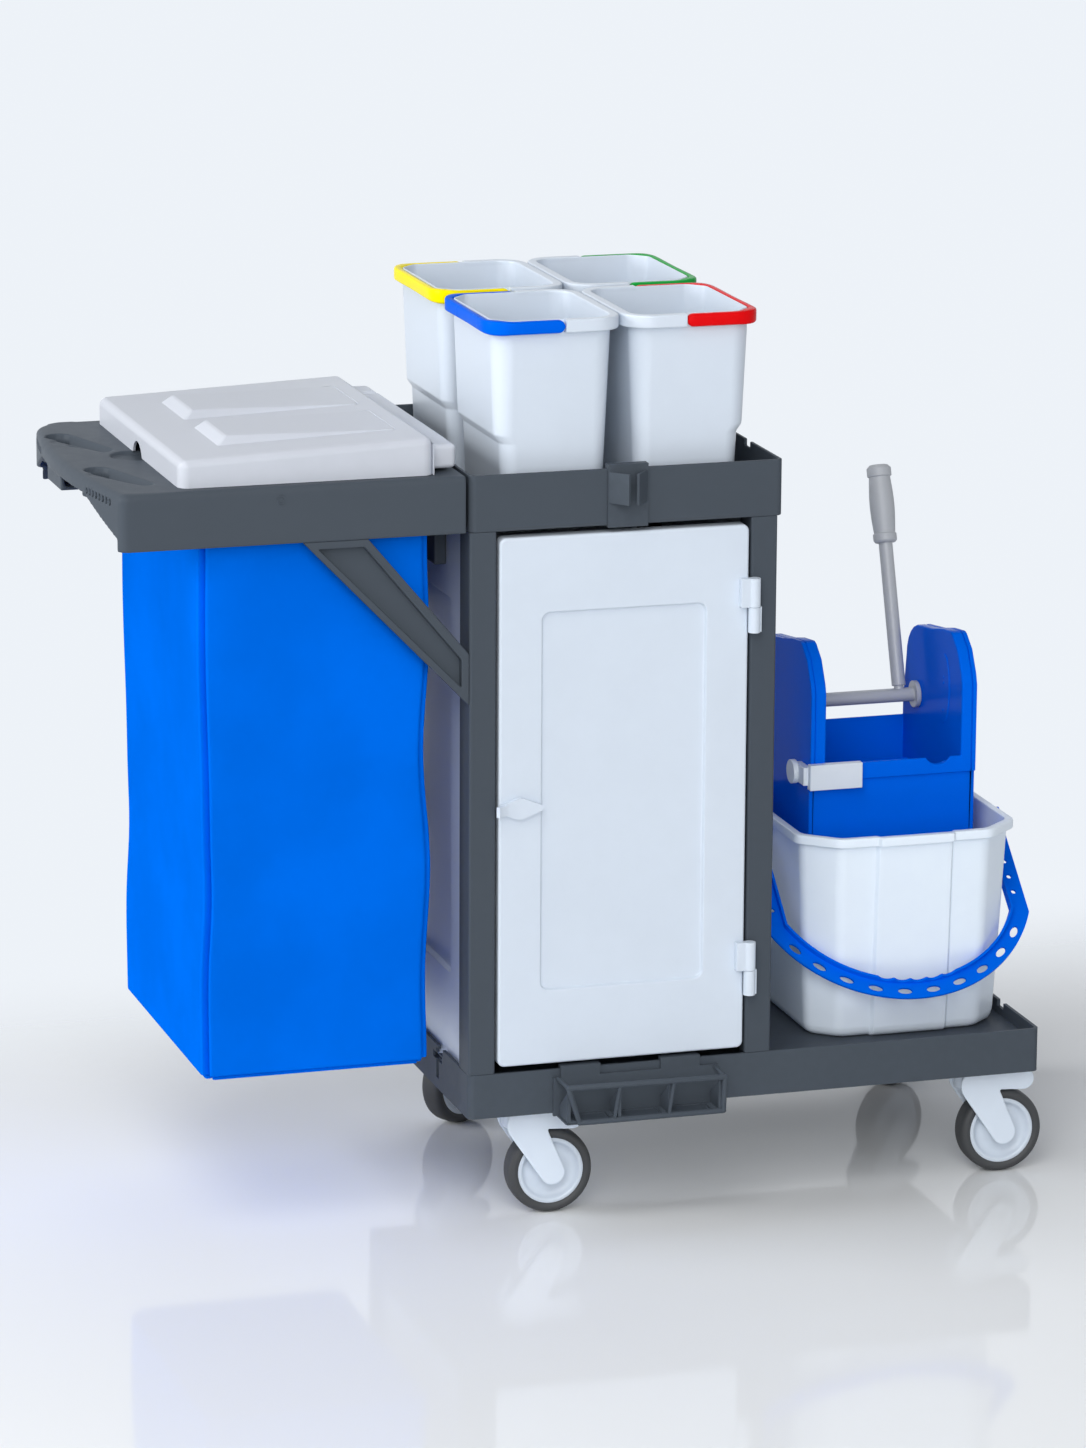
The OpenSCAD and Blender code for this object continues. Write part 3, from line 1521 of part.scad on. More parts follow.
module caster_tyre() {
  r = rim_d / 2;
  w = tyre_w / 2;
  translate([trail, 0, wheel_r]) rotate([90, 0, 0]) rotate_extrude($fn = 72) polygon([
    [r, -rim_w / 2], [r + 4, -w], [wheel_r - 5, -w], [wheel_r - 1.5, -w + 3], [wheel_r, -w + 8],
    [wheel_r, w - 8], [wheel_r - 1.5, w - 3], [wheel_r - 5, w], [r + 4, w], [r, rim_w / 2]
  ]);
}

// Kingpins with heads, pressed up into the base
module caster_stems() {
  color("silver") for (i = [0, 1], j = [0, 1]) at_caster(i, j) {
    rod_z(crown_z + 3, deck_z - deck_t - boss_cap, 0, 0, stem_d);
    rod_z(crown_z + 3, crown_z + head_h - gap, 0, 0, stem_d + 2 * head_over);
  }
}

module fork_front_left() {
  color(white) at_caster(0, 0) fork();
}

module fork_front_right() {
  color(white) at_caster(1, 0) fork();
}

module fork_back_left() {
  color(white) at_caster(0, 1) fork();
}

module fork_back_right() {
  color(white) at_caster(1, 1) fork();
}

module axle_front_left() {
  color("silver") at_caster(0, 0) caster_axle();
}

module axle_front_right() {
  color("silver") at_caster(1, 0) caster_axle();
}

module axle_back_left() {
  color("silver") at_caster(0, 1) caster_axle();
}

module axle_back_right() {
  color("silver") at_caster(1, 1) caster_axle();
}

module wheel_front_left() {
  color(white) at_caster(0, 0) caster_wheel();
}

module wheel_front_right() {
  color(white) at_caster(1, 0) caster_wheel();
}

module wheel_back_left() {
  color(white) at_caster(0, 1) caster_wheel();
}

module wheel_back_right() {
  color(white) at_caster(1, 1) caster_wheel();
}

module tyre_front_left() {
  color("darkslategray") at_caster(0, 0) caster_tyre();
}

module tyre_front_right() {
  color("darkslategray") at_caster(1, 0) caster_tyre();
}

module tyre_back_left() {
  color("darkslategray") at_caster(0, 1) caster_tyre();
}

module tyre_back_right() {
  color("darkslategray") at_caster(1, 1) caster_tyre();
}

base_tray();
post_front_left();
post_front_right();
post_back_left();
post_back_right();
side_panel_left();
side_panel_right();
back_panel();
cabinet_shelf();
top_tray();
bag_frame();
brace_front();
brace_back();
waste_bag();
tool_clip();
mop_rack();
hinge_leaves();
caster_stems();
lid_pin();
door_panel();
hinge_knuckles();
latch_handle();
latch_cam();
bag_lid();
bin_front_left();
bin_back_left();
bin_front_right();
bin_back_right();
bail_front_left();
bail_back_left();
bail_front_right();
bail_back_right();
bucket();
bucket_bail();
wringer_body();
wringer_covers();
wringer_clip();
lever_axle();
lever_tube();
lever_grip();
lever_cranks();
press_links();
press_plate();
fork_front_left();
fork_front_right();
fork_back_left();
fork_back_right();
axle_front_left();
axle_front_right();
axle_back_left();
axle_back_right();
wheel_front_left();
wheel_front_right();
wheel_back_left();
wheel_back_right();
tyre_front_left();
tyre_front_right();
tyre_back_left();
tyre_back_right();
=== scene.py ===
"""Looks of a janitor cart: rounded mouldings on its frame, a soft waste bag, finishes and a studio."""

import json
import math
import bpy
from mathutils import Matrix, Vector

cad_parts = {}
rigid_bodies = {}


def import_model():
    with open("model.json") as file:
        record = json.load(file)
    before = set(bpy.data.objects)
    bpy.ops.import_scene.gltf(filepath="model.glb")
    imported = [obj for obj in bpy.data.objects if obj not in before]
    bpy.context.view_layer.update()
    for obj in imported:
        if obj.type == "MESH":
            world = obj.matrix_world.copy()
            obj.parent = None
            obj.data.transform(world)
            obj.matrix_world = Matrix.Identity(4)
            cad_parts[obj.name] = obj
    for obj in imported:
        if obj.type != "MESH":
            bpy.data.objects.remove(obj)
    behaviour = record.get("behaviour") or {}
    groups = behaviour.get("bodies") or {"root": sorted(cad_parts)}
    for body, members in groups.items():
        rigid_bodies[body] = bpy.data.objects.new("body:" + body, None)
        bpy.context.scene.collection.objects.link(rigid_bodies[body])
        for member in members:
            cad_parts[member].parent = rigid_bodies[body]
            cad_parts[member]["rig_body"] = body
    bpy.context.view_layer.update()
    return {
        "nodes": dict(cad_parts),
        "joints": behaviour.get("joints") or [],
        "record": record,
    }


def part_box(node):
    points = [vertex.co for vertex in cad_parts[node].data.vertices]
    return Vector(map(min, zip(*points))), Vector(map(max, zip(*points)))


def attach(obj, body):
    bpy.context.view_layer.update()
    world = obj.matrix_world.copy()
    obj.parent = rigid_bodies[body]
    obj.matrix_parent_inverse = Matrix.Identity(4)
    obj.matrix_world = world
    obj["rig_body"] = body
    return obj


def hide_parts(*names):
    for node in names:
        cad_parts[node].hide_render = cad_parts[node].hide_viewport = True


bl_info = {
    "name": "Janitor Cart",
    "version": (1, 0, 0),
    "blender": (4, 5, 0),
    "location": "View3D > Sidebar > Cart",
    "description": "Dresses the packed janitor cart with mouldings, fabric and finishes",
    "category": "Object",
}

import bmesh
import bpy
from bpy.props import FloatProperty, FloatVectorProperty, IntProperty, PointerProperty
from mathutils import Matrix, Vector, noise
from mathutils.bvhtree import BVHTree

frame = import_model()
MM = 0.001
BASE_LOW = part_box("base_tray")[0]
SIDES = ("front_left", "front_right", "back_left", "back_right")
# Places and sizes in millimetres
BUCKET_X, BUCKET_Y, BUCKET_FOOT = 570, 220, 173.3
BAIL_PIVOT, BAIL_TILT, BAIL_BOW, HOLE_CIRCLE = 399.3, 42, 71.5, 172
BIN_HALF, BIN_CORNER = Vector((81.5, 103.0)), 34.0
BIN_RIM, BIN_TOP = 214.0, 229.0
LATCH_X, LATCH_Z = 59, 508
SCOOPS = (142, 346)
WELD = 1.3
SEAM = 0.0135


def at(x, y, z):
    """A point in metres, from millimetres along, behind and above the floor at the base's front left."""
    return Vector((BASE_LOW.x + x * MM, BASE_LOW.y + y * MM, z * MM))


# Selection and modelling steps


def nothing():
    """Leaves nothing selected, in object mode."""
    if bpy.context.object and bpy.context.object.mode != "OBJECT":
        bpy.ops.object.mode_set(mode="OBJECT")
    bpy.ops.object.select_all(action="DESELECT")


def only(piece):
    """Leaves one object selected and active, in object mode."""
    nothing()
    piece.hide_set(False)
    piece.select_set(True)
    bpy.context.view_layer.objects.active = piece
    return piece


def edit(piece):
    """Opens a piece for editing with nothing picked, and gives its mesh."""
    only(piece)
    bpy.ops.object.mode_set(mode="EDIT")
    bpy.ops.mesh.select_all(action="DESELECT")
    return bmesh.from_edit_mesh(piece.data)


def close(piece):
    """Leaves edit mode."""
    bpy.ops.object.mode_set(mode="OBJECT")
    return piece


def picked(piece, kind, test):
    """Picks the faces or vertices that pass a test while the piece is open."""
    bpy.ops.mesh.select_mode(type={"faces": "FACE", "verts": "VERT"}[kind])
    bpy.ops.mesh.select_all(action="DESELECT")
    mesh = bmesh.from_edit_mesh(piece.data)
    mesh.normal_update()
    for part in getattr(mesh, kind):
        if test(part):
            part.select_set(True)
    mesh.select_flush_mode()
    bmesh.update_edit_mesh(piece.data)


def finish_with(piece, kind, name, **settings):
    """Adds one modifier, sets it and applies it."""
    only(piece)
    bpy.ops.object.modifier_add(type=kind)
    step = piece.modifiers[-1]
    step.name = name
    for key, value in settings.items():
        setattr(step, key, value)
    bpy.ops.object.modifier_apply(modifier=step.name)
    return piece


def smooth(piece, degrees=40):
    """Shades a piece smooth except across sharp edges."""
    only(piece)
    bpy.ops.object.shade_smooth_by_angle(angle=math.radians(degrees))
    return piece


def face_out(piece):
    """Merges doubles and turns all faces outwards."""
    edit(piece)
    bpy.ops.mesh.select_all(action="SELECT")
    bpy.ops.mesh.remove_doubles(threshold=0.00001)
    bpy.ops.mesh.normals_make_consistent(inside=False)
    return close(piece)


def solid_box(name, low, high):
    """A box between two corners, with its place in its mesh."""
    nothing()
    bpy.ops.mesh.primitive_cube_add(size=1, location=(low + high) / 2)
    piece = bpy.context.object
    piece.name = name
    piece.scale = high - low
    bpy.ops.object.transform_apply(location=True, rotation=True, scale=True)
    return piece


def loft(name, rings, closed_start=True, closed_end=True):
    """A skin through rings of equally many points, each ring extruded from the one before."""
    nothing()
    bpy.ops.mesh.primitive_circle_add(vertices=len(rings[0]), radius=0.1)
    piece = bpy.context.object
    piece.name = name
    bpy.ops.object.mode_set(mode="EDIT")
    mesh = bmesh.from_edit_mesh(piece.data)
    place = mesh.verts.layers.int.new("place")
    for index, vert in enumerate(mesh.verts):
        vert[place] = index
        vert.co = rings[0][index]
    bmesh.update_edit_mesh(piece.data)
    bpy.ops.mesh.select_all(action="SELECT")
    if closed_start:
        bpy.ops.mesh.edge_face_add()
        bpy.ops.mesh.select_mode(type="EDGE")
    for ring in rings[1:]:
        bpy.ops.mesh.extrude_edges_move()
        mesh = bmesh.from_edit_mesh(piece.data)
        place = mesh.verts.layers.int["place"]
        for vert in mesh.verts:
            if vert.select:
                vert.co = ring[vert[place]]
        bmesh.update_edit_mesh(piece.data)
    if closed_end:
        bpy.ops.mesh.edge_face_add()
    bpy.ops.mesh.select_mode(type="VERT")
    close(piece)
    return face_out(piece)


def merged_copy(node, name):
    """A copy of a CAD node as one clean skin, its place in its mesh."""
    piece = bpy.data.objects.new(name, frame["nodes"][node].data.copy())
    bpy.context.scene.collection.objects.link(piece)
    only(piece)
    bpy.ops.mesh.customdata_custom_splitnormals_clear()
    edit(piece)
    bpy.ops.mesh.select_all(action="SELECT")
    bpy.ops.mesh.remove_doubles(threshold=0.00002)
    bpy.ops.mesh.dissolve_limited(angle_limit=math.radians(0.6))
    return close(piece)


def rounded(piece, width, widths=None, segments=2, degrees=32):
    """Rounds sharp edges by a width in millimetres, or by what widths gives for an edge."""
    mesh = bmesh.new()
    mesh.from_mesh(piece.data)
    weight = mesh.edges.layers.float.new("bevel_weight_edge")
    wanted = {}
    for edge in mesh.edges:
        if len(edge.link_faces) == 2 and edge.calc_face_angle(0.0) > math.radians(degrees):
            own = widths(edge) if widths else None
            wanted[edge] = width if own is None else own
    most = max(wanted.values())
    for edge, size in wanted.items():
        edge[weight] = size / most
    mesh.to_mesh(piece.data)
    mesh.free()
    finish_with(
        piece, "BEVEL", "rounded_edges", width=most * MM, segments=segments, limit_method="WEIGHT",
        use_clamp_overlap=False, miter_outer="MITER_ARC",
    )
    return flat_faces(piece)


def crossings(piece):
    """Counts pairs of a piece's faces that cross without a shared corner."""
    mesh = bmesh.new()
    mesh.from_mesh(piece.data)
    bmesh.ops.triangulate(mesh, faces=mesh.faces[:])
    mesh.faces.ensure_lookup_table()
    tree = BVHTree.FromBMesh(mesh)
    count = 0
    for first, second in tree.overlap(tree):
        if first < second and not set(mesh.faces[first].verts) & set(mesh.faces[second].verts):
            count += 1
    mesh.free()
    return count


def careful(node, width, segments=3, shape=None):
    """A rounded copy of a CAD node with fine features: the largest rounding that leaves its faces apart."""
    for share in (1.0, 0.6, 0.35, 0.2):
        piece = merged_copy(node, node + ".moulding")
        if shape:
            shape(piece)
        rounded(piece, width * share, None, segments)
        if not crossings(piece):
            return piece
        bpy.data.objects.remove(piece)
    piece = merged_copy(node, node + ".moulding")
    if shape:
        shape(piece)
    return flat_faces(piece)


def flat_faces(piece, degrees=45):
    """Shades a piece smooth with its large faces kept flat."""
    smooth(piece, degrees)
    settings = {"mode": "FACE_AREA", "weight": 50, "keep_sharp": True}
    return finish_with(piece, "WEIGHTED_NORMAL", "face_weights", **settings)


def moulding(node, width, widths=None, segments=2):
    """A copy of a CAD node with its edges rounded as a moulding's are."""
    return rounded(merged_copy(node, node + ".moulding"), width, widths, segments)


def on_rim(piece, edge, z):
    """Whether an edge at one height lies on the outer plan of a piece."""
    if any(abs(vert.co.z - z) > 0.0002 for vert in edge.verts):
        return False
    start, end = (vert.co.xy for vert in edge.verts)
    if (end - start).length < 0.00001:
        return False
    out = Vector((end.y - start.y, start.x - end.x)).normalized()
    reach = [(vert.co.xy - start).dot(out) for vert in piece.data.vertices]
    return max(reach) < 0.0001 or min(reach) > -0.0001


def melted(piece, voxel, rounds, keep):
    """Melts a piece's corners together, as in a casting."""
    finish_with(piece, "REMESH", "melted", mode="VOXEL", voxel_size=voxel * MM)
    finish_with(piece, "SMOOTH", "tumbled", factor=0.5, iterations=rounds)
    finish_with(piece, "DECIMATE", "lighter", ratio=keep)
    return smooth(piece, 60)


def turned(name, profile, centre, axis, count=64):
    """A ring turned about an axis from a closed profile of radius and place along it, in millimetres."""
    axis = axis.normalized()
    across = axis.orthogonal().normalized()
    other = axis.cross(across)
    rings = []
    for radius, along in [*profile, profile[0]]:
        ring = []
        for step in range(count):
            a = 2 * math.pi * step / count
            out = across * math.cos(a) + other * math.sin(a)
            ring.append(centre + (axis * along + out * radius) * MM)
        rings.append(ring)
    return loft(name, rings, False, False)


def joined(name, pieces):
    """Several shapes of one material made into one piece."""
    only(pieces[0])
    for piece in pieces[1:]:
        piece.select_set(True)
    bpy.ops.object.join()
    pieces[0].name = name
    return pieces[0]


def cut(piece, tool, solver="EXACT"):
    """Takes a tool's shape out of a piece and the tool away."""
    finish_with(piece, "BOOLEAN", "cut_away", operation="DIFFERENCE", solver=solver, object=tool)
    bpy.data.objects.remove(tool)
    return piece


def rod(name, start, end, radius, count=48):
    """A round bar between two points, radius in millimetres."""
    nothing()
    way = end - start
    bpy.ops.mesh.primitive_cylinder_add(
        vertices=count, radius=radius * MM, depth=way.length, location=(start + end) / 2,
    )
    piece = bpy.context.object
    piece.name = name
    piece.rotation_euler = way.to_track_quat("Z", "Y").to_euler()
    bpy.ops.object.transform_apply(location=True, rotation=True, scale=True)
    return piece


def finger(name, start, end, radius, tip):
    """A bar with round ends that thins from one radius to another, in millimetres."""
    way = (end - start).normalized()
    across = way.orthogonal().normalized()
    other = way.cross(across)
    cap = [math.radians(a) for a in (6, 30, 60)]
    spots = [(start - way * radius * MM * math.cos(a), radius * math.sin(a)) for a in cap]
    spots += [(start, radius), (end, tip)]
    spots += [(end + way * tip * MM * math.cos(a), tip * math.sin(a)) for a in reversed(cap)]
    rings = []
    for spot, size in spots:
        turns = [2 * math.pi * step / 24 for step in range(24)]
        rings.append([spot + (across * math.cos(a) + other * math.sin(a)) * size * MM for a in turns])
    return loft(name, rings)


def plate(name, outline, way):
    """A flat outline extruded along a vector."""
    nothing()
    bpy.ops.mesh.primitive_circle_add(vertices=len(outline), radius=0.1, fill_type="NGON")
    piece = bpy.context.object
    piece.name = name
    for vert, point in zip(piece.data.vertices, outline):
        vert.co = point
    edit(piece)
    bpy.ops.mesh.select_all(action="SELECT")
    bpy.ops.mesh.extrude_region_move(TRANSFORM_OT_translate={"value": way})
    close(piece)
    return face_out(piece)


def rounded_outline(corners, cuts, steps):
    """A flat outline whose corners are replaced by curves that start the given cut before each corner."""
    points = []
    for index, (corner, size) in enumerate(zip(corners, cuts)):
        before = (corners[index - 1] - corner).normalized() * size
        after = (corners[(index + 1) % len(corners)] - corner).normalized() * size
        for step in range(steps + 1):
            t = step / steps
            points.append(corner + before * (1 - t) ** 2 + after * t ** 2)
    return points


def oblong(low, high, radius, steps=8):
    """Points round a flat oblong with round corners, from its lower left corner on."""
    r = max(0.2, radius)
    points = []
    left, right, near, far = low.x + r, high.x - r, low.y + r, high.y - r
    for turn, middle in enumerate(((left, near), (right, near), (right, far), (left, far))):
        for step in range(steps + 1):
            a = math.radians(180 + 90 * (turn + step / steps))
            points.append(Vector(middle) + Vector((math.cos(a), math.sin(a))) * r)
    return points


def bar_section(half, shift, low, high, soft):
    """Cross-section of a bar: an oblong with round corners, moved outwards by a shift."""
    soft = min(soft, half * 0.95, (high - low) * 0.48)
    return oblong(Vector((shift - half, low)), Vector((shift + half, high)), soft, 3)


def band(name, path, place):
    """A bar swept along a flat path of points, outward ways and section sizes."""
    rings = []
    for spot, out, section in path:
        ring = []
        for across, up in bar_section(*section):
            ring.append(place(spot.x + out.x * across, spot.y + out.y * across, up))
        rings.append(ring)
    return loft(name, rings)


def fitted(piece, finish, body, slot, *nodes):
    """Gives a piece its finish, its body and the CAD nodes that it stands for; the slot argument is not
    used.
    """
    piece.data.materials.clear()
    piece.data.materials.append(finish)
    if nodes:
        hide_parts(*nodes)
    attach(piece, body)
    return piece


def body_of(node):
    """The CAD body that a node belongs to."""
    return frame["nodes"][node]["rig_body"]


# Finishes


def new_group(name, inputs, outputs):
    """A shader group with named sockets; inputs are name, kind and default."""
    group = bpy.data.node_groups.new(name, "ShaderNodeTree")
    for socket_name, kind, default in inputs:
        socket = group.interface.new_socket(name=socket_name, in_out="INPUT", socket_type=kind)
        if default is not None:
            socket.default_value = default
    for socket_name, kind in outputs:
        group.interface.new_socket(name=socket_name, in_out="OUTPUT", socket_type=kind)
    return group, group.nodes.new("NodeGroupInput"), group.nodes.new("NodeGroupOutput")


def math_node(tree, operation, a, b=None):
    """A Math node fed by links or numbers."""
    node = tree.nodes.new("ShaderNodeMath")
    node.operation = operation
    for index, value in enumerate((a, b)):
        if value is None:
            continue
        if isinstance(value, (int, float)):
            node.inputs[index].default_value = value
        else:
            tree.links.new(value, node.inputs[index])
    return node.outputs[0]


def noise_node(tree, vector, scale, detail=2.0, roughness=0.5):
    """A Noise texture's value on given coordinates."""
    node = tree.nodes.new("ShaderNodeTexNoise")
    node.inputs["Detail"].default_value = detail
    node.inputs["Roughness"].default_value = roughness
    tree.links.new(vector, node.inputs["Vector"])
    if isinstance(scale, (int, float)):
        node.inputs["Scale"].default_value = scale
    else:
        tree.links.new(scale, node.inputs["Scale"])
    return node.outputs["Fac"]


def range_node(tree, value, low, high, to_low=0.0, to_high=1.0):
    """Maps a value from one range to another, smoothly and clamped."""
    node = tree.nodes.new("ShaderNodeMapRange")
    node.interpolation_type = "SMOOTHSTEP"
    node.inputs["From Min"].default_value = low
    node.inputs["From Max"].default_value = high
    node.inputs["To Min"].default_value = to_low
    node.inputs["To Max"].default_value = to_high
    tree.links.new(value, node.inputs["Value"])
    return node.outputs["Result"]


def grain_group():
    """Fine spark-eroded grain of a mould, with slow waves of sheen."""
    group, inside, out = new_group(
        "moulded_grain",
        [("Vector", "NodeSocketVector", None), ("Scale", "NodeSocketFloat", 900.0)],
        [("Height", "NodeSocketFloat"), ("Sheen", "NodeSocketFloat")],
    )
    vector, scale = inside.outputs[:2]
    fine = noise_node(group, vector, scale, 3.0, 0.6)
    slow = noise_node(group, vector, 7.0, 2.0)
    streak = noise_node(group, vector, math_node(group, "MULTIPLY", scale, 0.06), 2.0)
    group.links.new(fine, out.inputs["Height"])
    slow, streak = math_node(group, "MULTIPLY", slow, 0.65), math_node(group, "MULTIPLY", streak, 0.35)
    both = math_node(group, "ADD", slow, streak)
    group.links.new(range_node(group, both, 0.3, 0.7), out.inputs["Sheen"])
    return group


def wear_and_highlight_group():
    """Rubbed edges, whose lightening also paints highlights on convex edges, and scattered scuffs of a cart
    in daily use.
    """
    group, inside, out = new_group(
        "handling_wear",
        [("Vector", "NodeSocketVector", None), ("Scuff Scale", "NodeSocketFloat", 28.0)],
        [("Edges", "NodeSocketFloat"), ("Scuffs", "NodeSocketFloat")],
    )
    vector, scale = inside.outputs[:2]
    geometry = group.nodes.new("ShaderNodeNewGeometry")
    # Convex edges found by pointiness; they are lightened later as rubbed wear and as a painted highlight.
    edge = range_node(group, geometry.outputs["Pointiness"], 0.52, 0.62)
    broken = range_node(group, noise_node(group, vector, 90.0, 3.0), 0.42, 0.62)
    group.links.new(math_node(group, "MULTIPLY", edge, broken), out.inputs["Edges"])
    stretch = group.nodes.new("ShaderNodeMapping")
    stretch.inputs["Rotation"].default_value = (0.3, 0.5, 0.7)
    stretch.inputs["Scale"].default_value = (1.0, 6.0, 6.0)
    group.links.new(vector, stretch.inputs["Vector"])
    lines = range_node(group, noise_node(group, stretch.outputs[0], scale, 4.0, 0.65), 0.62, 0.78)
    patches = range_node(group, noise_node(group, vector, 5.0, 2.0), 0.5, 0.68)
    group.links.new(math_node(group, "MULTIPLY", lines, patches), out.inputs["Scuffs"])
    return group


def weave_group():
    """Coated plain weave: threads across and along the walls of a bag."""
    group, inside, out = new_group(
        "plain_weave",
        [("Vector", "NodeSocketVector", None), ("Threads", "NodeSocketFloat", 900.0)],
        [("Height", "NodeSocketFloat"), ("Tone", "NodeSocketFloat")],
    )
    vector, threads = inside.outputs[:2]
    parts = group.nodes.new("ShaderNodeSeparateXYZ")
    group.links.new(vector, parts.inputs[0])
    along = math_node(group, "ADD", parts.outputs["X"], parts.outputs["Y"])
    pitch = math_node(group, "MULTIPLY", threads, 6.283)
    warp = math_node(group, "SINE", math_node(group, "MULTIPLY", along, pitch))
    weft = math_node(group, "SINE", math_node(group, "MULTIPLY", parts.outputs["Z"], pitch))
    group.links.new(math_node(group, "MULTIPLY", warp, weft), out.inputs["Height"])
    slow = noise_node(group, vector, 6.0, 3.0)
    group.links.new(range_node(group, slow, 0.3, 0.7), out.inputs["Tone"])
    return group


GROUPS = {}
FINISHES = {}


def group_node(tree, name, vector, **values):
    """Places a shared group in a material with its own values."""
    node = tree.nodes.new("ShaderNodeGroup")
    node.node_tree = GROUPS[name]
    tree.links.new(vector, node.inputs["Vector"])
    for key, value in values.items():
        node.inputs[key.replace("_", " ")].default_value = value
    return node


def mixed(tree, factor, first, second):
    """A colour mix by a mask; both colours are fixed or linked."""
    node = tree.nodes.new("ShaderNodeMix")
    node.data_type = "RGBA"
    tree.links.new(factor, node.inputs["Factor"])
    for socket, value in ((node.inputs[6], first), (node.inputs[7], second)):
        if hasattr(value, "is_output"):
            tree.links.new(value, socket)
        else:
            socket.default_value = (*value[:3], 1.0)
    return node.outputs[2]


def toned(colour, gain):
    """A colour made lighter or darker."""
    return tuple(min(1.0, part * gain) for part in colour[:3])


def new_finish(name, colour):
    """An empty finish: its material, node tree, shader and object coordinates."""
    finish = bpy.data.materials.new(name)
    finish.use_nodes = True
    finish.diffuse_color = (*colour[:3], 1.0)
    tree = finish.node_tree
    where = tree.nodes.new("ShaderNodeTexCoord").outputs["Object"]
    return finish, tree, tree.nodes["Principled BSDF"], where


def bumped(tree, shader, height, strength, distance):
    """Feeds a height to the shader's normal."""
    bump = tree.nodes.new("ShaderNodeBump")
    bump.inputs["Strength"].default_value = strength
    bump.inputs["Distance"].default_value = distance
    tree.links.new(height, bump.inputs["Height"])
    tree.links.new(bump.outputs[0], shader.inputs["Normal"])


def moulded_plastic(name, colour, rough, grain, depth, wear, shine=0.5):
    """Injection-moulded plastic: grain, slow sheen, scuffs and lighter convex edges, which are rubbed wear
    and partly a painted highlight.
    """
    finish, tree, shader, where = new_finish(name, colour)
    skin = group_node(tree, "moulded_grain", where, Scale=grain)
    used = group_node(tree, "handling_wear", where)
    worn_and_highlit = math_node(tree, "MAXIMUM", used.outputs["Edges"], used.outputs["Scuffs"])
    marks = math_node(tree, "MULTIPLY", worn_and_highlit, wear)
    base = mixed(tree, skin.outputs["Sheen"], toned(colour, 0.985), toned(colour, 1.012))
    # Edges and scuffs lighten the colour: on convex edges this is partly a painted highlight.
    tree.links.new(mixed(tree, marks, base, toned(colour, 1.35)), shader.inputs["Base Color"])
    gloss = math_node(tree, "MULTIPLY", skin.outputs["Sheen"], 0.09)
    rougher = math_node(tree, "ADD", gloss, math_node(tree, "MULTIPLY", marks, 0.3))
    tree.links.new(math_node(tree, "ADD", rougher, rough - 0.045), shader.inputs["Roughness"])
    bumped(tree, shader, skin.outputs["Height"], depth, 0.0006)
    shader.inputs["Specular IOR Level"].default_value = shine
    return finish


def coated_cloth(name, colour):
    """Coated woven cloth of the waste bag."""
    finish, tree, shader, where = new_finish(name, colour)
    cloth = group_node(tree, "plain_weave", where, Threads=700.0)
    used = group_node(tree, "handling_wear", where, Scuff_Scale=18.0)
    base = mixed(tree, cloth.outputs["Tone"], toned(colour, 0.93), toned(colour, 1.06))
    marks = math_node(tree, "MULTIPLY", used.outputs["Scuffs"], 0.12)
    tree.links.new(mixed(tree, marks, base, toned(colour, 1.5)), shader.inputs["Base Color"])
    rougher = math_node(tree, "MULTIPLY", cloth.outputs["Tone"], 0.1)
    tree.links.new(math_node(tree, "ADD", rougher, 0.46), shader.inputs["Roughness"])
    bumped(tree, shader, cloth.outputs["Height"], 0.12, 0.0004)
    shader.inputs["Specular IOR Level"].default_value = 0.0
    return finish


def drawn_metal(name, colour, rough):
    """Drawn bright metal with fine lines and scuffs."""
    finish, tree, shader, where = new_finish(name, colour)
    skin = group_node(tree, "moulded_grain", where, Scale=500.0)
    used = group_node(tree, "handling_wear", where)
    base = mixed(tree, skin.outputs["Sheen"], toned(colour, 0.92), toned(colour, 1.05))
    dull = mixed(tree, used.outputs["Scuffs"], base, toned(colour, 0.7))
    tree.links.new(dull, shader.inputs["Base Color"])
    rougher = math_node(tree, "MULTIPLY", skin.outputs["Sheen"], 0.12)
    tree.links.new(math_node(tree, "ADD", rougher, rough), shader.inputs["Roughness"])
    bumped(tree, shader, skin.outputs["Height"], 0.05, 0.0003)
    shader.inputs["Metallic"].default_value = 1.0
    return finish


# Settings


def colour_setting(name, description, default):
    """A colour that the panel shows."""
    return FloatVectorProperty(
        name=name, description=description, subtype="COLOR", size=3, min=0, max=1, default=default,
    )


class CartColours(bpy.types.PropertyGroup):
    """Colours of the cart's finishes."""

    frame_plastic: colour_setting("Frame", "Dark plastic of the frame and trays", (0.068, 0.082, 0.1))
    white_plastic: colour_setting("White", "White plastic of door, bins and bucket", (0.64, 0.71, 0.797))
    lid_plastic: colour_setting("Lid", "Pale plastic of the bag's lid", (0.575, 0.605, 0.665))
    bag_fabric: colour_setting("Bag", "Coated cloth of the waste bag", (0.0, 0.135, 0.74))
    wringer_plastic: colour_setting("Wringer", "Plastic of wringer and bucket bail", (0.0, 0.13, 0.8))
    lever_metal: colour_setting("Lever", "Grey lever and its grip", (0.41, 0.43, 0.46))
    clip_plastic: colour_setting("Catch", "Pale catch on the wringer", (0.72, 0.78, 0.85))
    blue_bail: colour_setting("Blue bail", "Bail of the front left bin", (0.0, 0.12, 0.78))
    yellow_bail: colour_setting("Yellow bail", "Bail of the back left bin", (0.95, 0.8, 0.0))
    red_bail: colour_setting("Red bail", "Bail of the front right bin", (0.75, 0.004, 0.006))
    green_bail: colour_setting("Green bail", "Bail of the back right bin", (0.008, 0.36, 0.05))


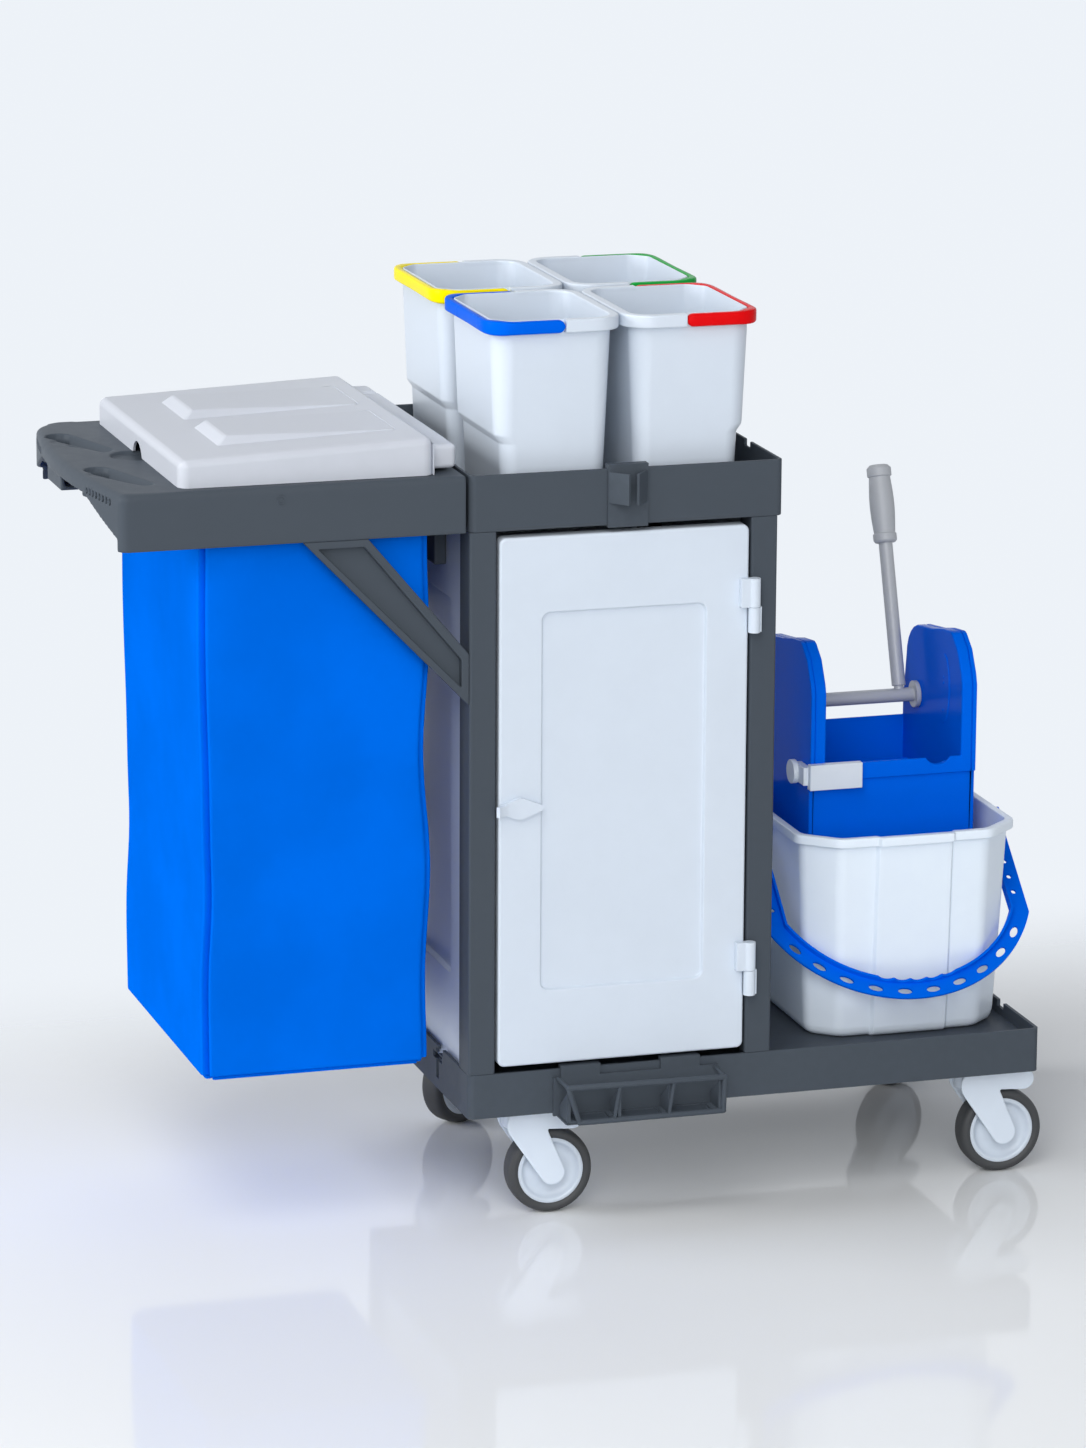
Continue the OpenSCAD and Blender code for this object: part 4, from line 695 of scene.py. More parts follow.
class CartSizes(bpy.types.PropertyGroup):
    """Roundings and softness of the cart's pieces."""

    frame_round: FloatProperty(
        name="Frame edges", description="Edge rounding of the frame's mouldings", unit="LENGTH",
        min=0.0002, max=0.003, default=0.0012,
    )
    bag_sag: FloatProperty(
        name="Bag sag", description="How far the bag's walls swell and fall in", unit="LENGTH",
        min=0.0, max=0.012, default=0.006,
    )
    bag_rows: IntProperty(
        name="Bag rows", description="Rows of cloth between the bag's bottom and its hem",
        min=20, max=80, default=44,
    )


def colours():
    """The colours that are set in the scene."""
    return bpy.context.scene.cart_colours


def sizes():
    """The roundings that are set in the scene."""
    return bpy.context.scene.cart_sizes


class CART_OT_finishes(bpy.types.Operator):
    """Makes the shared effects and all finishes"""

    bl_idname = "cart.finishes"
    bl_label = "Finishes"

    def execute(self, context):
        GROUPS["moulded_grain"] = grain_group()
        GROUPS["handling_wear"] = wear_and_highlight_group()
        GROUPS["plain_weave"] = weave_group()
        tint = colours()
        white = tint.white_plastic
        # Name, colour, roughness, grain, depth, wear (scuffs and lighter edges, partly a painted highlight)
        # and, where it isn't plain, shine
        plastics = [
            ("frame_plastic", tint.frame_plastic, 0.42, 1100.0, 0.1, 0.12, 0.05),
            ("white_plastic", white, 0.34, 700.0, 0.02, 0.04),
            # The bucket's copy of the white plastic is made lighter: painted light on the bucket.
            ("bucket_white", toned(white, 1.27), 0.34, 700.0, 0.02, 0.04),
            # The forks' copy of the white plastic is made lighter: painted light on the forks.
            ("fork_white", toned(white, 1.15), 0.36, 700.0, 0.02, 0.08),
            ("lid_plastic", tint.lid_plastic, 0.4, 900.0, 0.05, 0.04, 0.1),
            ("wringer_plastic", tint.wringer_plastic, 0.2, 500.0, 0.015, 0.15, 0.01),
            ("clip_plastic", tint.clip_plastic, 0.4, 900.0, 0.04, 0.1),
            ("grip_plastic", tint.lever_metal, 0.42, 900.0, 0.06, 0.2),
            ("blue_plastic", tint.blue_bail, 0.26, 600.0, 0.02, 0.12, 0.01),
            ("yellow_plastic", tint.yellow_bail, 0.26, 600.0, 0.02, 0.12, 0.05),
            ("red_plastic", tint.red_bail, 0.26, 600.0, 0.02, 0.12, 0.05),
            ("green_plastic", tint.green_bail, 0.26, 600.0, 0.02, 0.12, 0.05),
            ("tyre_rubber", (0.045, 0.047, 0.05), 0.62, 700.0, 0.12, 0.2),
            ("lever_metal", tint.lever_metal, 0.34, 500.0, 0.03, 0.15),
        ]
        for row in plastics:
            FINISHES[row[0]] = moulded_plastic(*row)
        FINISHES["bag_fabric"] = coated_cloth("bag_fabric", tint.bag_fabric)
        FINISHES["steel"] = drawn_metal("steel", (0.55, 0.56, 0.58), 0.28)
        return {"FINISHED"}


SLOTS = {part["node"]: part["material_slot"] for part in frame["record"]["subparts"]}


def dressed(piece, node, finish=None):
    """Fits a piece over its CAD node: the node's body, and its own finish or the finish that the node's
    slot names.
    """
    slot = SLOTS[node]
    return fitted(piece, FINISHES[finish or slot], body_of(node), slot, node)


class CART_OT_frame(bpy.types.Operator):
    """Rounds the trays, posts, panels, braces and holders"""

    bl_idname = "cart.frame"
    bl_label = "Frame and cabinet"

    def execute(self, context):
        edge = sizes().frame_round / MM
        dressed(moulding("top_tray", edge), "top_tray")
        dressed(careful("base_tray", edge, 2, self.hook_slot), "base_tray")
        for side in SIDES:
            dressed(moulding("post_" + side, edge), "post_" + side)
        for node in ("side_panel_left", "side_panel_right", "back_panel", "cabinet_shelf"):
            dressed(moulding(node, 1.2), node)
        for node in ("brace_front", "brace_back"):
            dressed(moulding(node, 1.4, segments=3), node)
        dressed(careful("tool_clip", 1.3), "tool_clip")
        dressed(self.rack(), "mop_rack")
        for node in ("caster_stems", "lid_pin"):
            dressed(moulding(node, 0.5), node)
        return {"FINISHED"}

    def rack(self):
        """The mop rack: a closed trough behind a hoop of round bars that leans outwards."""
        trough = careful("mop_rack", 1.6)
        cut(trough, solid_box("rack_front", at(90, -60, 120), at(320, -36, 200)))
        floor = rounded(solid_box("mop_rack.floor", at(107, -36, 132.5), at(299, -1, 135)), 0.5)
        bars = [
            ((109, -40, 178), (300, -40, 176), 3.4), ((124, -36, 134), (300, -36, 134), 3.4),
            ((109, -40, 178), (124, -36, 134), 3.2), ((300, -40, 176), (300, -36, 134), 3.2),
            ((172, -40, 177), (166, -36, 134), 2.4), ((238, -40, 177), (233, -36, 134), 2.4),
            ((109, -40, 178), (107, -5, 180), 2.6), ((300, -40, 176), (300, -5, 178), 2.6),
        ]
        hoop = []
        for start, end, size in bars:
            hoop.append(smooth(finger("mop_rack.bar", at(*start), at(*end), size, size)))
        return joined("mop_rack.moulding", [flat_faces(trough), floor, *hoop])

    def hook_slot(self, base):
        """Cuts the slot for a hanging hook into the left end of the base."""
        cut(base, solid_box("slot_stem", at(-1, 125, 150), at(4, 136, 186)))
        cut(base, solid_box("slot_bar", at(-1, 112, 172), at(4, 149, 180)))


class CART_OT_door(bpy.types.Operator):
    """Rounds the door, its hinges and its latch"""

    bl_idname = "cart.door"
    bl_label = "Door"

    def execute(self, context):
        back = merged_copy("door_panel", "door_panel.back")
        cut(back, solid_box("door_front", at(20, -10, 180), at(350, 4.5, 850)))
        flat_faces(back)
        skin = self.skin()
        dressed(joined("door_panel.moulding", [skin, back]), "door_panel")
        widths = {"hinge_leaves": 1.2, "hinge_knuckles": 1.2, "latch_handle": 2.0, "latch_cam": 0.8}
        for node, width in widths.items():
            dressed(careful(node, width), node)
        return {"FINISHED"}

    def skin(self):
        """The door's face: a shallow tray with a round rim and a sunk field, bored for the latch."""
        rim = [(4.6, 0.0), (1.2, 0.0), (0.2, 0.12), (-0.8, 0.7), (-1.6, 1.8), (-2.0, 3.4)]
        field = [
            (-2.0, -1.6), (-1.8, -0.7), (-1.2, -0.1), (0.0, 0.3),
            (1.8, 0.7), (2.6, 1.1), (2.95, 1.9), (3.0, 3.0),
        ]
        rings = []
        for low, high, radius, profile in (
            (Vector((35, 198)), Vector((334.5, 825)), 8, rim),
            (Vector((86, 287)), Vector((283.5, 736)), 10, field),
        ):
            for depth, inset in profile:
                step = Vector((inset, inset))
                outline = oblong(low + step, high - step, radius - inset)
                rings.append([at(point.x, depth, point.y) for point in outline])
        piece = loft("door_panel.skin", rings)
        cut(piece, rod("latch_bore", at(LATCH_X, -10, LATCH_Z), at(LATCH_X, 10, LATCH_Z), 6.5))
        return flat_faces(piece)


class CART_OT_handle_frame(bpy.types.Operator):
    """Rounds the bag frame with its push handle"""

    bl_idname = "cart.handle_frame"
    bl_label = "Bag frame"

    def execute(self, context):
        piece = merged_copy("bag_frame", "bag_frame.moulding")
        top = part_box("top_tray")[1].z
        end = at(-395, 0, 0).x

        def outer(edge):
            first, second = (vert.co for vert in edge.verts)
            if abs(first.z - second.z) > 0.02 and max(first.x, second.x) < end - 0.004:
                return 5.0
            if not on_rim(piece, edge, top):
                return None
            return 9.0 if all(vert.co.x < end for vert in edge.verts) else 4.5

        rounded(piece, 0.0, outer, 6)
        parts = [piece]
        for y in (122, 318):
            parts.append(rod("grip_fill", at(-399, y, 881), at(-399, y, 897.6), 15.6))
        for y in SCOOPS:
            parts += self.scoop_wall(y)
        joined("bag_frame.moulding", parts)
        finish_with(piece, "REMESH", "welded", mode="VOXEL", voxel_size=WELD * MM)
        for y in SCOOPS:
            deep, shallow = self.scoop_line(y)
            cut(piece, finger("scoop_cut", deep, shallow, 16.0, 11.5), "MANIFOLD")
            cut(piece, rod("grip_hole", deep + Vector((0, 0, -0.028)), deep, 13.0), "MANIFOLD")
        melted(piece, WELD, 5, 0.2)
        slots = []
        for step in range(8):
            for y in (28 + 10 * step, 407 - 10 * step):
                bow = -428 + (y + 2.5 - 220) ** 2 / 2127
                slots.append(solid_box("slot", at(-445, y, 882), at(bow + 9, y + 5, 889)))
        cut(piece, joined("slots", slots), "MANIFOLD")
        dressed(smooth(piece, 60), "bag_frame")
        spot = at(-220.6, 0, 884)
        profile = [(0.1, 0.5), (0.1, -0.4), (2.9, -0.4), (3.3, -1.3), (4.6, -1.3), (5.0, 0.5)]
        plug = turned("bag_frame.plug", profile, spot, Vector((0, 1, 0)), 32)
        fitted(smooth(plug), FINISHES["frame_plastic"], "cart", "frame_plastic")
        return {"FINISHED"}

    def scoop_line(self, y):
        """The deep and the shallow end of a finger scoop in the handle."""
        return at(-397, y + 8, 901), at(-362, y - 84, 905)

    def scoop_wall(self, y):
        """The wall under a finger scoop and the cup under its hole."""
        deep, shallow = self.scoop_line(y)
        wall = finger("scoop_wall", deep, shallow, 20.0, 15.0)
        cut(wall, solid_box("scoop_top", at(-450, y - 130, 897.8), at(-300, y + 60, 940)))
        cup = rod("grip_cup", deep + Vector((0, 0, -0.032)), deep + Vector((0, 0, -0.004)), 17.5)
        return wall, cup


class CART_OT_lid(bpy.types.Operator):
    """Models the lid of the waste bag"""

    bl_idname = "cart.lid"
    bl_label = "Lid"

    def execute(self, context):
        shell = self.shell(at(-334, 16, 899.3), at(-37, 424, 930.3), 12.0)
        pads = [self.pad(y, y + 116) for y in (82, 242)]
        strip = merged_copy("bag_lid", "bag_lid.strip")
        cut(strip, solid_box("lid_end", at(-400, 0, 880), at(-38.4, 440, 960)))
        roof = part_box("bag_lid")[0].z

        def top(edge):
            return 2.4 if all(vert.co.z > roof + 0.024 for vert in edge.verts) else None

        rounded(strip, 0.8, top, 3)
        caps = []
        for y in (32, 364):
            cap = solid_box("bag_lid.cap", at(-50, y, 902.5), at(-7, y + 44, 931))
            caps.append(rounded(cap, 6.0, None, 6))
        dressed(joined("bag_lid.moulding", [shell, *pads, *caps, strip]), "bag_lid")
        return {"FINISHED"}

    def shell(self, low, high, rise):
        """The hollow lid: a low box whose top climbs to the hinge, with soft edges and a finger arch."""
        piece = solid_box("bag_lid.shell", low, high)
        edit(piece)
        picked(piece, "verts", lambda vert: vert.co.z > low.z + 0.01 and vert.co.x > low.x + 0.1)
        bpy.ops.transform.translate(value=(0, 0, rise * MM))
        picked(piece, "faces", lambda face: face.normal.z < -0.9)
        bpy.ops.mesh.delete(type="FACE")
        close(piece)

        def upright(edge):
            return 13.0 if abs(edge.verts[0].co.z - edge.verts[1].co.z) > 0.015 else None

        rounded(piece, 9.0, upright, 6)
        finish_with(piece, "SOLIDIFY", "wall", thickness=0.003, offset=-1.0)
        middle = (low.y + high.y) / 2
        start = Vector((low.x - 0.01, middle, low.z - 0.008))
        cut(piece, rod("finger_arch", start, start + Vector((0.03, 0, 0)), 24.0, 64))
        return flat_faces(piece, 50)

    def pad(self, y0, y1):
        """A wedge pad that stands out at the handle's end and dies into the climbing top."""
        foot = [(-277, y0 - 2, 929), (-64, y0 - 2, 938.8), (-64, y1 + 2, 938.8), (-277, y1 + 2, 929)]
        head = [(-262, y0 + 10, 942.5), (-64, y0 - 1, 941.4), (-64, y1 + 1, 941.4), (-262, y1 - 10, 942.5)]
        piece = loft("bag_lid.pad", [[at(*point) for point in ring] for ring in (foot, head)])
        return rounded(piece, 3.0, None, 4, 8)


def bin_ring(inset, back, tuck=0.0):
    """Outline of a bin: an oblong with its outer side set back and its outer corners tucked in."""
    corner = BIN_HALF - Vector((inset, inset))
    points = oblong(-corner + Vector((back, 0)), corner, max(6.0, BIN_CORNER - inset), 10)
    for index in (*range(11), *range(33, 44)):
        bell = math.sin(math.pi * (index % 11) / 10) ** 2
        points[index] = points[index] * (1 - tuck * bell / points[index].length)
    return points


def half_rim(inset, start):
    """The half of a bin's rim on its outer side, as points and outward ways from one side to the other."""
    corner = BIN_HALF - Vector((inset, inset))
    radius = BIN_CORNER - inset
    path = []
    straight = corner.x - radius
    for step in range(6):
        path.append((Vector((start - (start + straight) * step / 6, -corner.y)), Vector((0, -1))))
    for step in range(11):
        a = math.radians(270 - 9 * step)
        way = Vector((math.cos(a), math.sin(a)))
        path.append((Vector((-straight, radius - corner.y)) + way * radius, way))
    side = corner.y - radius
    for step in range(1, 12):
        path.append((Vector((-corner.x, -side + side * 2 * step / 12)), Vector((-1, 0))))
    other = [(Vector((spot.x, -spot.y)), Vector((way.x, -way.y))) for spot, way in path[:17]]
    return path + other[::-1]


class CART_OT_bins(bpy.types.Operator):
    """Moulds the four bins and their coloured bails"""

    bl_idname = "cart.bins"
    bl_label = "Bins"

    def execute(self, context):
        for side in ("front_left", "back_left", "front_right", "back_right"):
            low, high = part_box("bin_" + side)
            way = 1 if "left" in side else -1
            middle = high.x - BIN_HALF.x * MM if way > 0 else low.x + BIN_HALF.x * MM
            centre = Vector((middle, (low.y + high.y) / 2, low.z))

            def place(x, y, z, centre=centre, way=way):
                return centre + Vector((x * way, y, z)) * MM

            dressed(self.body(side, place), "bin_" + side)
            dressed(self.bail(side, place), "bail_" + side)
        return {"FINISHED"}

    def body(self, side, place):
        """A thin-walled bin with a round foot, a step half way up and a full rim on its inner half."""
        outside = [
            (0.0, 25.0, 6.0), (0.5, 22.0, 6.0), (2.0, 19.9, 6.0), (5.0, 18.8, 6.0), (84.0, 15.3, 6.0),
            (86.5, 15.2, 5.6), (94.0, 14.9, 0.5), (97.0, 14.8, 0.0), (205.0, 10.0, 0.0),
            (BIN_RIM, 9.7, 0.0), (226.5, 9.1, 0.0), (228.4, 9.5, 0.0), (BIN_TOP, 10.1, 0.0),
        ]
        inside = [
            (BIN_TOP, 10.8, 0.0), (228.2, 11.6, 0.0), (212.0, 12.3, 0.0), (202.0, 12.7, 0.0),
            (97.0, 17.3, 0.0), (94.0, 17.4, 0.5), (86.5, 17.7, 5.6), (84.0, 17.8, 6.0),
            (7.0, 21.2, 6.0), (3.4, 23.2, 6.0), (2.5, 27.0, 6.0),
        ]
        rings = []
        for z, inset, back in outside + inside:
            tuck = 3.2 * min(1.0, max(0.0, (z - 204) / 8))
            rings.append([place(point.x, point.y, z) for point in bin_ring(inset, back, tuck)])
        wall = loft("bin.wall_" + side, rings)
        flat_faces(wall, 50)
        path = []
        for spot, out in half_rim(5.9, -10.5):
            section = (5.9, 0.0, BIN_RIM, 229.3, 2.2)
            path.append((Vector((-spot.x, spot.y)), Vector((-out.x, out.y)), section))
        rim = band("bin.rim_" + side, path, place)
        flat_faces(rim, 50)
        return joined("bin.moulding_" + side, [wall, rim])

    def bail(self, side, place):
        """A bail that lies round the outer half of the rim, fuller at its corners, with round ends."""
        path = []
        for a in (86, 70, 50, 30, 15):
            height = 7.5 * math.cos(math.radians(a))
            x = 2.0 + 7.5 * math.sin(math.radians(a))
            section = (4.25, 0.0, 221.5 - height, 221.5 + height, 2.4)
            path.append((Vector((x, -98.75)), Vector((0, -1)), section))
        for spot, out in half_rim(4.25, 2.0):
            corner = 4 * (out.x * out.y) ** 2
            flank = (1 - out.y ** 2) * math.cos(math.pi * spot.y / 140) ** 2
            half = 4.25 + 2.2 * corner - 0.6 * flank
            shift = -0.6 * corner - 0.2 * flank
            path.append((spot, out, (half, shift, BIN_RIM - 0.8 * corner, BIN_TOP + 0.6 * corner, 2.6)))
        for spot, out, section in reversed(path[:5]):
            path.append((Vector((spot.x, -spot.y)), -out, section))
        return smooth(band("bail.moulding_" + side, path, place), 60)


def bucket_ring(inset):
    """Plan of the bucket: an oblong with wide soft corners and a crisp raised panel in front."""
    a, b, c = 139.0 - inset, 163.0 - inset, 44.0 - 0.6 * inset
    right = [(45.5, -b - 5), (48.5, -b), (a - c, -b), (a, -b + c * 0.9), (a, b - c * 0.9), (a - c, b)]
    corners = [Vector(point) for point in right]
    corners += [Vector((-x, y)) for x, y in reversed(right)]
    cuts = (1.3, 1.3, 9, 9, 9, 9)
    return rounded_outline(corners, cuts + cuts[::-1], 6)


class CART_OT_bucket(bpy.types.Operator):
    """Moulds the bucket and rounds its perforated bail"""

    bl_idname = "cart.bucket"
    bl_label = "Bucket"

    def execute(self, context):
        outside = [
            (0.0, 40.0), (0.0, 29.0), (0.8, 26.0), (3.0, 22.6), (7.0, 20.0), (14.0, 18.4),
            (120.0, 12.7), (236.0, 7.4), (238.4, 6.6), (239.2, 5.0), (239.4, 1.6), (239.9, 0.6),
            (241.0, 0.0), (248.6, 0.0), (250.2, 0.6), (251.0, 2.2),
        ]
        inside = [
            (251.0, 7.6), (250.4, 9.3), (248.6, 10.2), (120.0, 15.8), (17.0, 21.4), (9.0, 23.4),
            (5.0, 26.6), (3.0, 34.0), (3.0, 44.0),
        ]
        rings = []
        for z, inset in outside + inside:
            ring = bucket_ring(inset)
            rings.append([at(BUCKET_X + point.x, BUCKET_Y + point.y, BUCKET_FOOT + z) for point in ring])
        wall = loft("bucket.moulding", rings)
        for x in (425, 680):
            start, end = at(x, BUCKET_Y, BAIL_PIVOT), at(x + 35, BUCKET_Y, BAIL_PIVOT)
            cut(wall, rod("bail_bore", start, end, 4.4))
        # The bucket takes the lightened copy of the white plastic: painted light in its colour.
        dressed(flat_faces(wall, 40), "bucket", "bucket_white")
        dressed(careful("bucket_bail", 0.8, 3, self.ovals), "bucket_bail")
        return {"FINISHED"}

    def ovals(self, bail):
        """Opens the holes round the bail's bow to full ovals."""
        tilt = Matrix.Rotation(math.radians(BAIL_TILT), 3, "X")
        pivot = at(BUCKET_X, BUCKET_Y, BAIL_PIVOT)
        tools = []
        for turn in range(-54, 55, 12):
            a = math.radians(turn - 90)
            out = Vector((math.cos(a), math.sin(a), 0))
            along = Vector((-math.sin(a), math.cos(a), 0))
            outline = []
            for step in range(24):
                b = 2 * math.pi * step / 24
                reach = HOLE_CIRCLE + 4.2 * math.cos(b)
                flat = Vector((0, -BAIL_BOW, -6)) + out * reach + along * 9 * math.sin(b)
                outline.append(pivot + tilt @ flat * MM)
            tools.append(plate("oval", outline, tilt @ Vector((0, 0, 0.012))))
        cut(bail, joined("ovals", tools))


class CART_OT_wringer(bpy.types.Operator):
    """Models the wringer, its lever and its press"""

    bl_idname = "cart.wringer"
    bl_label = "Wringer"

    def execute(self, context):
        ledge = at(0, 0, 500).z
        pivots = (at(0, 295, 535.3).yz, at(0, 324, 301.3).yz)

        def cheek(edge):
            middle = (edge.verts[0].co + edge.verts[1].co) / 2
            if middle.z < ledge or min((middle.yz - pivot).length for pivot in pivots) < 0.02:
                return None
            return 2.6

        dressed(moulding("wringer_body", 1.0, cheek, 4), "wringer_body")
        for node in ("wringer_covers", "wringer_clip", "press_plate"):
            dressed(moulding(node, 1.0, None, 3), node)
        for x, face in ((BUCKET_X - 86, 1), (BUCKET_X + 86, -1)):
            self.emboss(x, face)
        for node in ("lever_axle", "lever_tube", "lever_grip", "lever_cranks", "press_links"):
            dressed(moulding(node, 0.8), node)
        return {"FINISHED"}

    def emboss(self, x, way):
        """A shallow oval field with dots on the inner face of a cheek."""
        side = "left" if way > 0 else "right"
        outline = []
        for step in range(48):
            a = 2 * math.pi * step / 48
            outline.append(at(x - way, 204 + 19 * math.cos(a), 563 + 43 * math.sin(a)))
        oval = plate("wringer.oval_" + side, outline, Vector((way * 1.9 * MM, 0, 0)))
        rounded(oval, 0.8, None, 3)
        dots = []
        for z in (570, 577, 536):
            low, high = at(x, 204, z), at(x + way * 1.8, 204, z)
            dots.append(rounded(rod("wringer.dot_" + side, low, high, 1.7, 16), 0.7, None, 3))
        slot = SLOTS["wringer_body"]
        emboss = joined("wringer.emboss_" + side, [oval, *dots])
        fitted(emboss, FINISHES[slot], body_of("wringer_body"), slot)


class CART_OT_casters(bpy.types.Operator):
    """Casts the forks and turns the wheels and tyres"""

    bl_idname = "cart.casters"
    bl_label = "Casters"

    def execute(self, context):
        face = [
            (5.1, 12.5), (13.0, 12.5), (15.5, 12.0), (18.0, 10.2), (22.0, 7.6), (27.0, 6.6), (31.0, 7.4),
            (33.6, 10.0), (35.0, 12.3), (36.2, 13.0), (38.6, 13.0), (39.9, 12.4),
        ]
        hoop = [
            (40.0, 13.0), (42.0, 14.6), (44.5, 15.0), (46.6, 14.8), (48.8, 13.6), (50.3, 11.6),
            (51.2, 8.8), (51.5, 5.0),
        ]
        for side in SIDES:
            low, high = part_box("tyre_" + side)
            centre = (low + high) / 2
            axle = self.axle_way(side)
            wheel = turned("wheel." + side, face + [(r, -w) for r, w in reversed(face)], centre, axle, 72)
            dressed(smooth(wheel, 40), "wheel_" + side)
            tyre = turned("tyre." + side, hoop + [(r, -w) for r, w in reversed(hoop)], centre, axle, 96)
            dressed(smooth(tyre, 40), "tyre_" + side)
            legs = [merged_copy("fork_" + side, "fork.casting_" + side)]
            for way in (-axle, axle):
                legs.append(rod("fork.boss", centre + way * 17.6 * MM, centre + way * 22.4 * MM, 6.0))
            # The forks take the lightened copy of the white plastic: painted light in their colour.
            dressed(melted(joined("fork.casting_" + side, legs), 1.1, 9, 0.3), "fork_" + side, "fork_white")
            bar = rod("axle." + side, centre - axle * 20 * MM, centre + axle * 20 * MM, 4.9)
            dressed(rounded(bar, 0.8), "axle_" + side)
        return {"FINISHED"}

    def axle_way(self, side):
        """Direction of a wheel's axle, from the joint that it rolls on."""
        for joint in frame["joints"]:
            if joint["name"] == "roll_" + side:
                return Vector(joint["axis"])
        raise RuntimeError("no roll joint for " + side)


def wall_marks(length, groove, count):
    """Distances along a bag's wall, close together beside the seams at both ends."""
    near = [0.0, 0.4, 0.7, 0.9, 1.0, 1.1, 1.3, 1.6, 2.2, 3.2]
    first = [share * groove for share in near]
    middle = [first[-1] + (length - 2 * first[-1]) * step / count for step in range(1, count)]
    return first + middle + [length - mark for mark in reversed(first)]


def swell(across, up, seed, amount):
    """Slow swelling of slack cloth, the same each time."""
    wide = noise.noise(Vector((across * 3.1, up * 2.4, seed)))
    tight = noise.noise(Vector((across * 7.0 + 3.0, up * 5.5, seed + 9.0)))
    return amount * (wide + 0.35 * tight)


def pinch(share):
    """Depth of a sewn corner, across the quarter turn from one wall to the next."""
    return 0.0095 * math.exp(-(((share - 0.5) / 0.15) ** 2))


def bag_ring(low, high, z, inset, sag):
    """One row of the bag's cloth: walls that hang slack between pinched, sewn corners."""
    up = z - low.z
    share = up / (high.z - low.z)
    hang = math.sin(math.pi * min(1.0, max(0.0, share * 1.08)))
    dimple = 0.0035 * math.exp(-(((share - 0.3) / 0.09) ** 2))
    lean_left = 0.0022 * math.sin(share * 9.0 + 0.6) * hang - dimple
    lean_right = 0.0045 * math.sin(share * 14.6 + 3.04) * hang
    x0, x1 = low.x + inset - lean_left, high.x - inset + lean_right
    y0, y1 = low.y + inset, high.y - inset
    r = max(0.002, SEAM - inset * 0.4)
    walls = [
        (Vector((x0, y0, z)), Vector((1, 0, 0)), x1 - x0, 1.0),
        (Vector((x1, y0, z)), Vector((0, 1, 0)), y1 - y0, 4.0),
        (Vector((x1, y1, z)), Vector((-1, 0, 0)), x1 - x0, 7.0),
        (Vector((x0, y1, z)), Vector((0, -1, 0)), y1 - y0, 11.0),
    ]
    points = []
    for corner, along, length, seed in walls:
        out = Vector((along.y, -along.x, 0))
        for step in range(20):
            a = math.radians(90 * (1 - step / 20))
            spot = corner + along * (r - r * math.sin(a)) - out * (r - r * math.cos(a))
            points.append(spot + (along - out).normalized() * pinch(step / 20) * min(1.0, r / SEAM))
        for mark in wall_marks(length - 2 * r, r, 14):
            side = min(mark, length - 2 * r - mark)
            slack = min(1.0, side / 0.06) * min(1.0, up / 0.05) * hang
            belly = 0.35 * sag * math.sin(math.pi * mark / (length - 2 * r)) * hang
            push = swell(mark, up, seed, sag) * slack + belly
            points.append(corner + along * (r + mark) + out * push)
    return points


class CART_OT_bag(bpy.types.Operator):
    """Sews the soft waste bag"""

    bl_idname = "cart.bag"
    bl_label = "Waste bag"

    def execute(self, context):
        low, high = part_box("waste_bag")
        rows, sag, curl = sizes().bag_rows, sizes().bag_sag, 0.009
        rings = [bag_ring(low, high, low.z, inset, sag) for inset in (0.09, 0.04, 0.018, curl)]
        for step in range(1, 14):
            a = math.radians(90 * step / 14)
            dent = pinch(step / 14) * 0.7
            z = low.z + curl * (1 - math.cos(a)) + dent
            rings.append(bag_ring(low, high, z, curl * (1 - math.sin(a)) + dent, sag))
        height = high.z - low.z - curl
        for step in range(rows + 1):
            rings.append(bag_ring(low, high, low.z + curl + height * step / rows, 0.0, sag))
        bag = loft("bag.sack", rings, True, False)
        finish_with(bag, "SOLIDIFY", "cloth_thickness", thickness=0.0012, offset=-1.0)
        smooth(bag, 70)
        fitted(bag, FINISHES["bag_fabric"], "cart", "bag_fabric", "waste_bag")
        return {"FINISHED"}


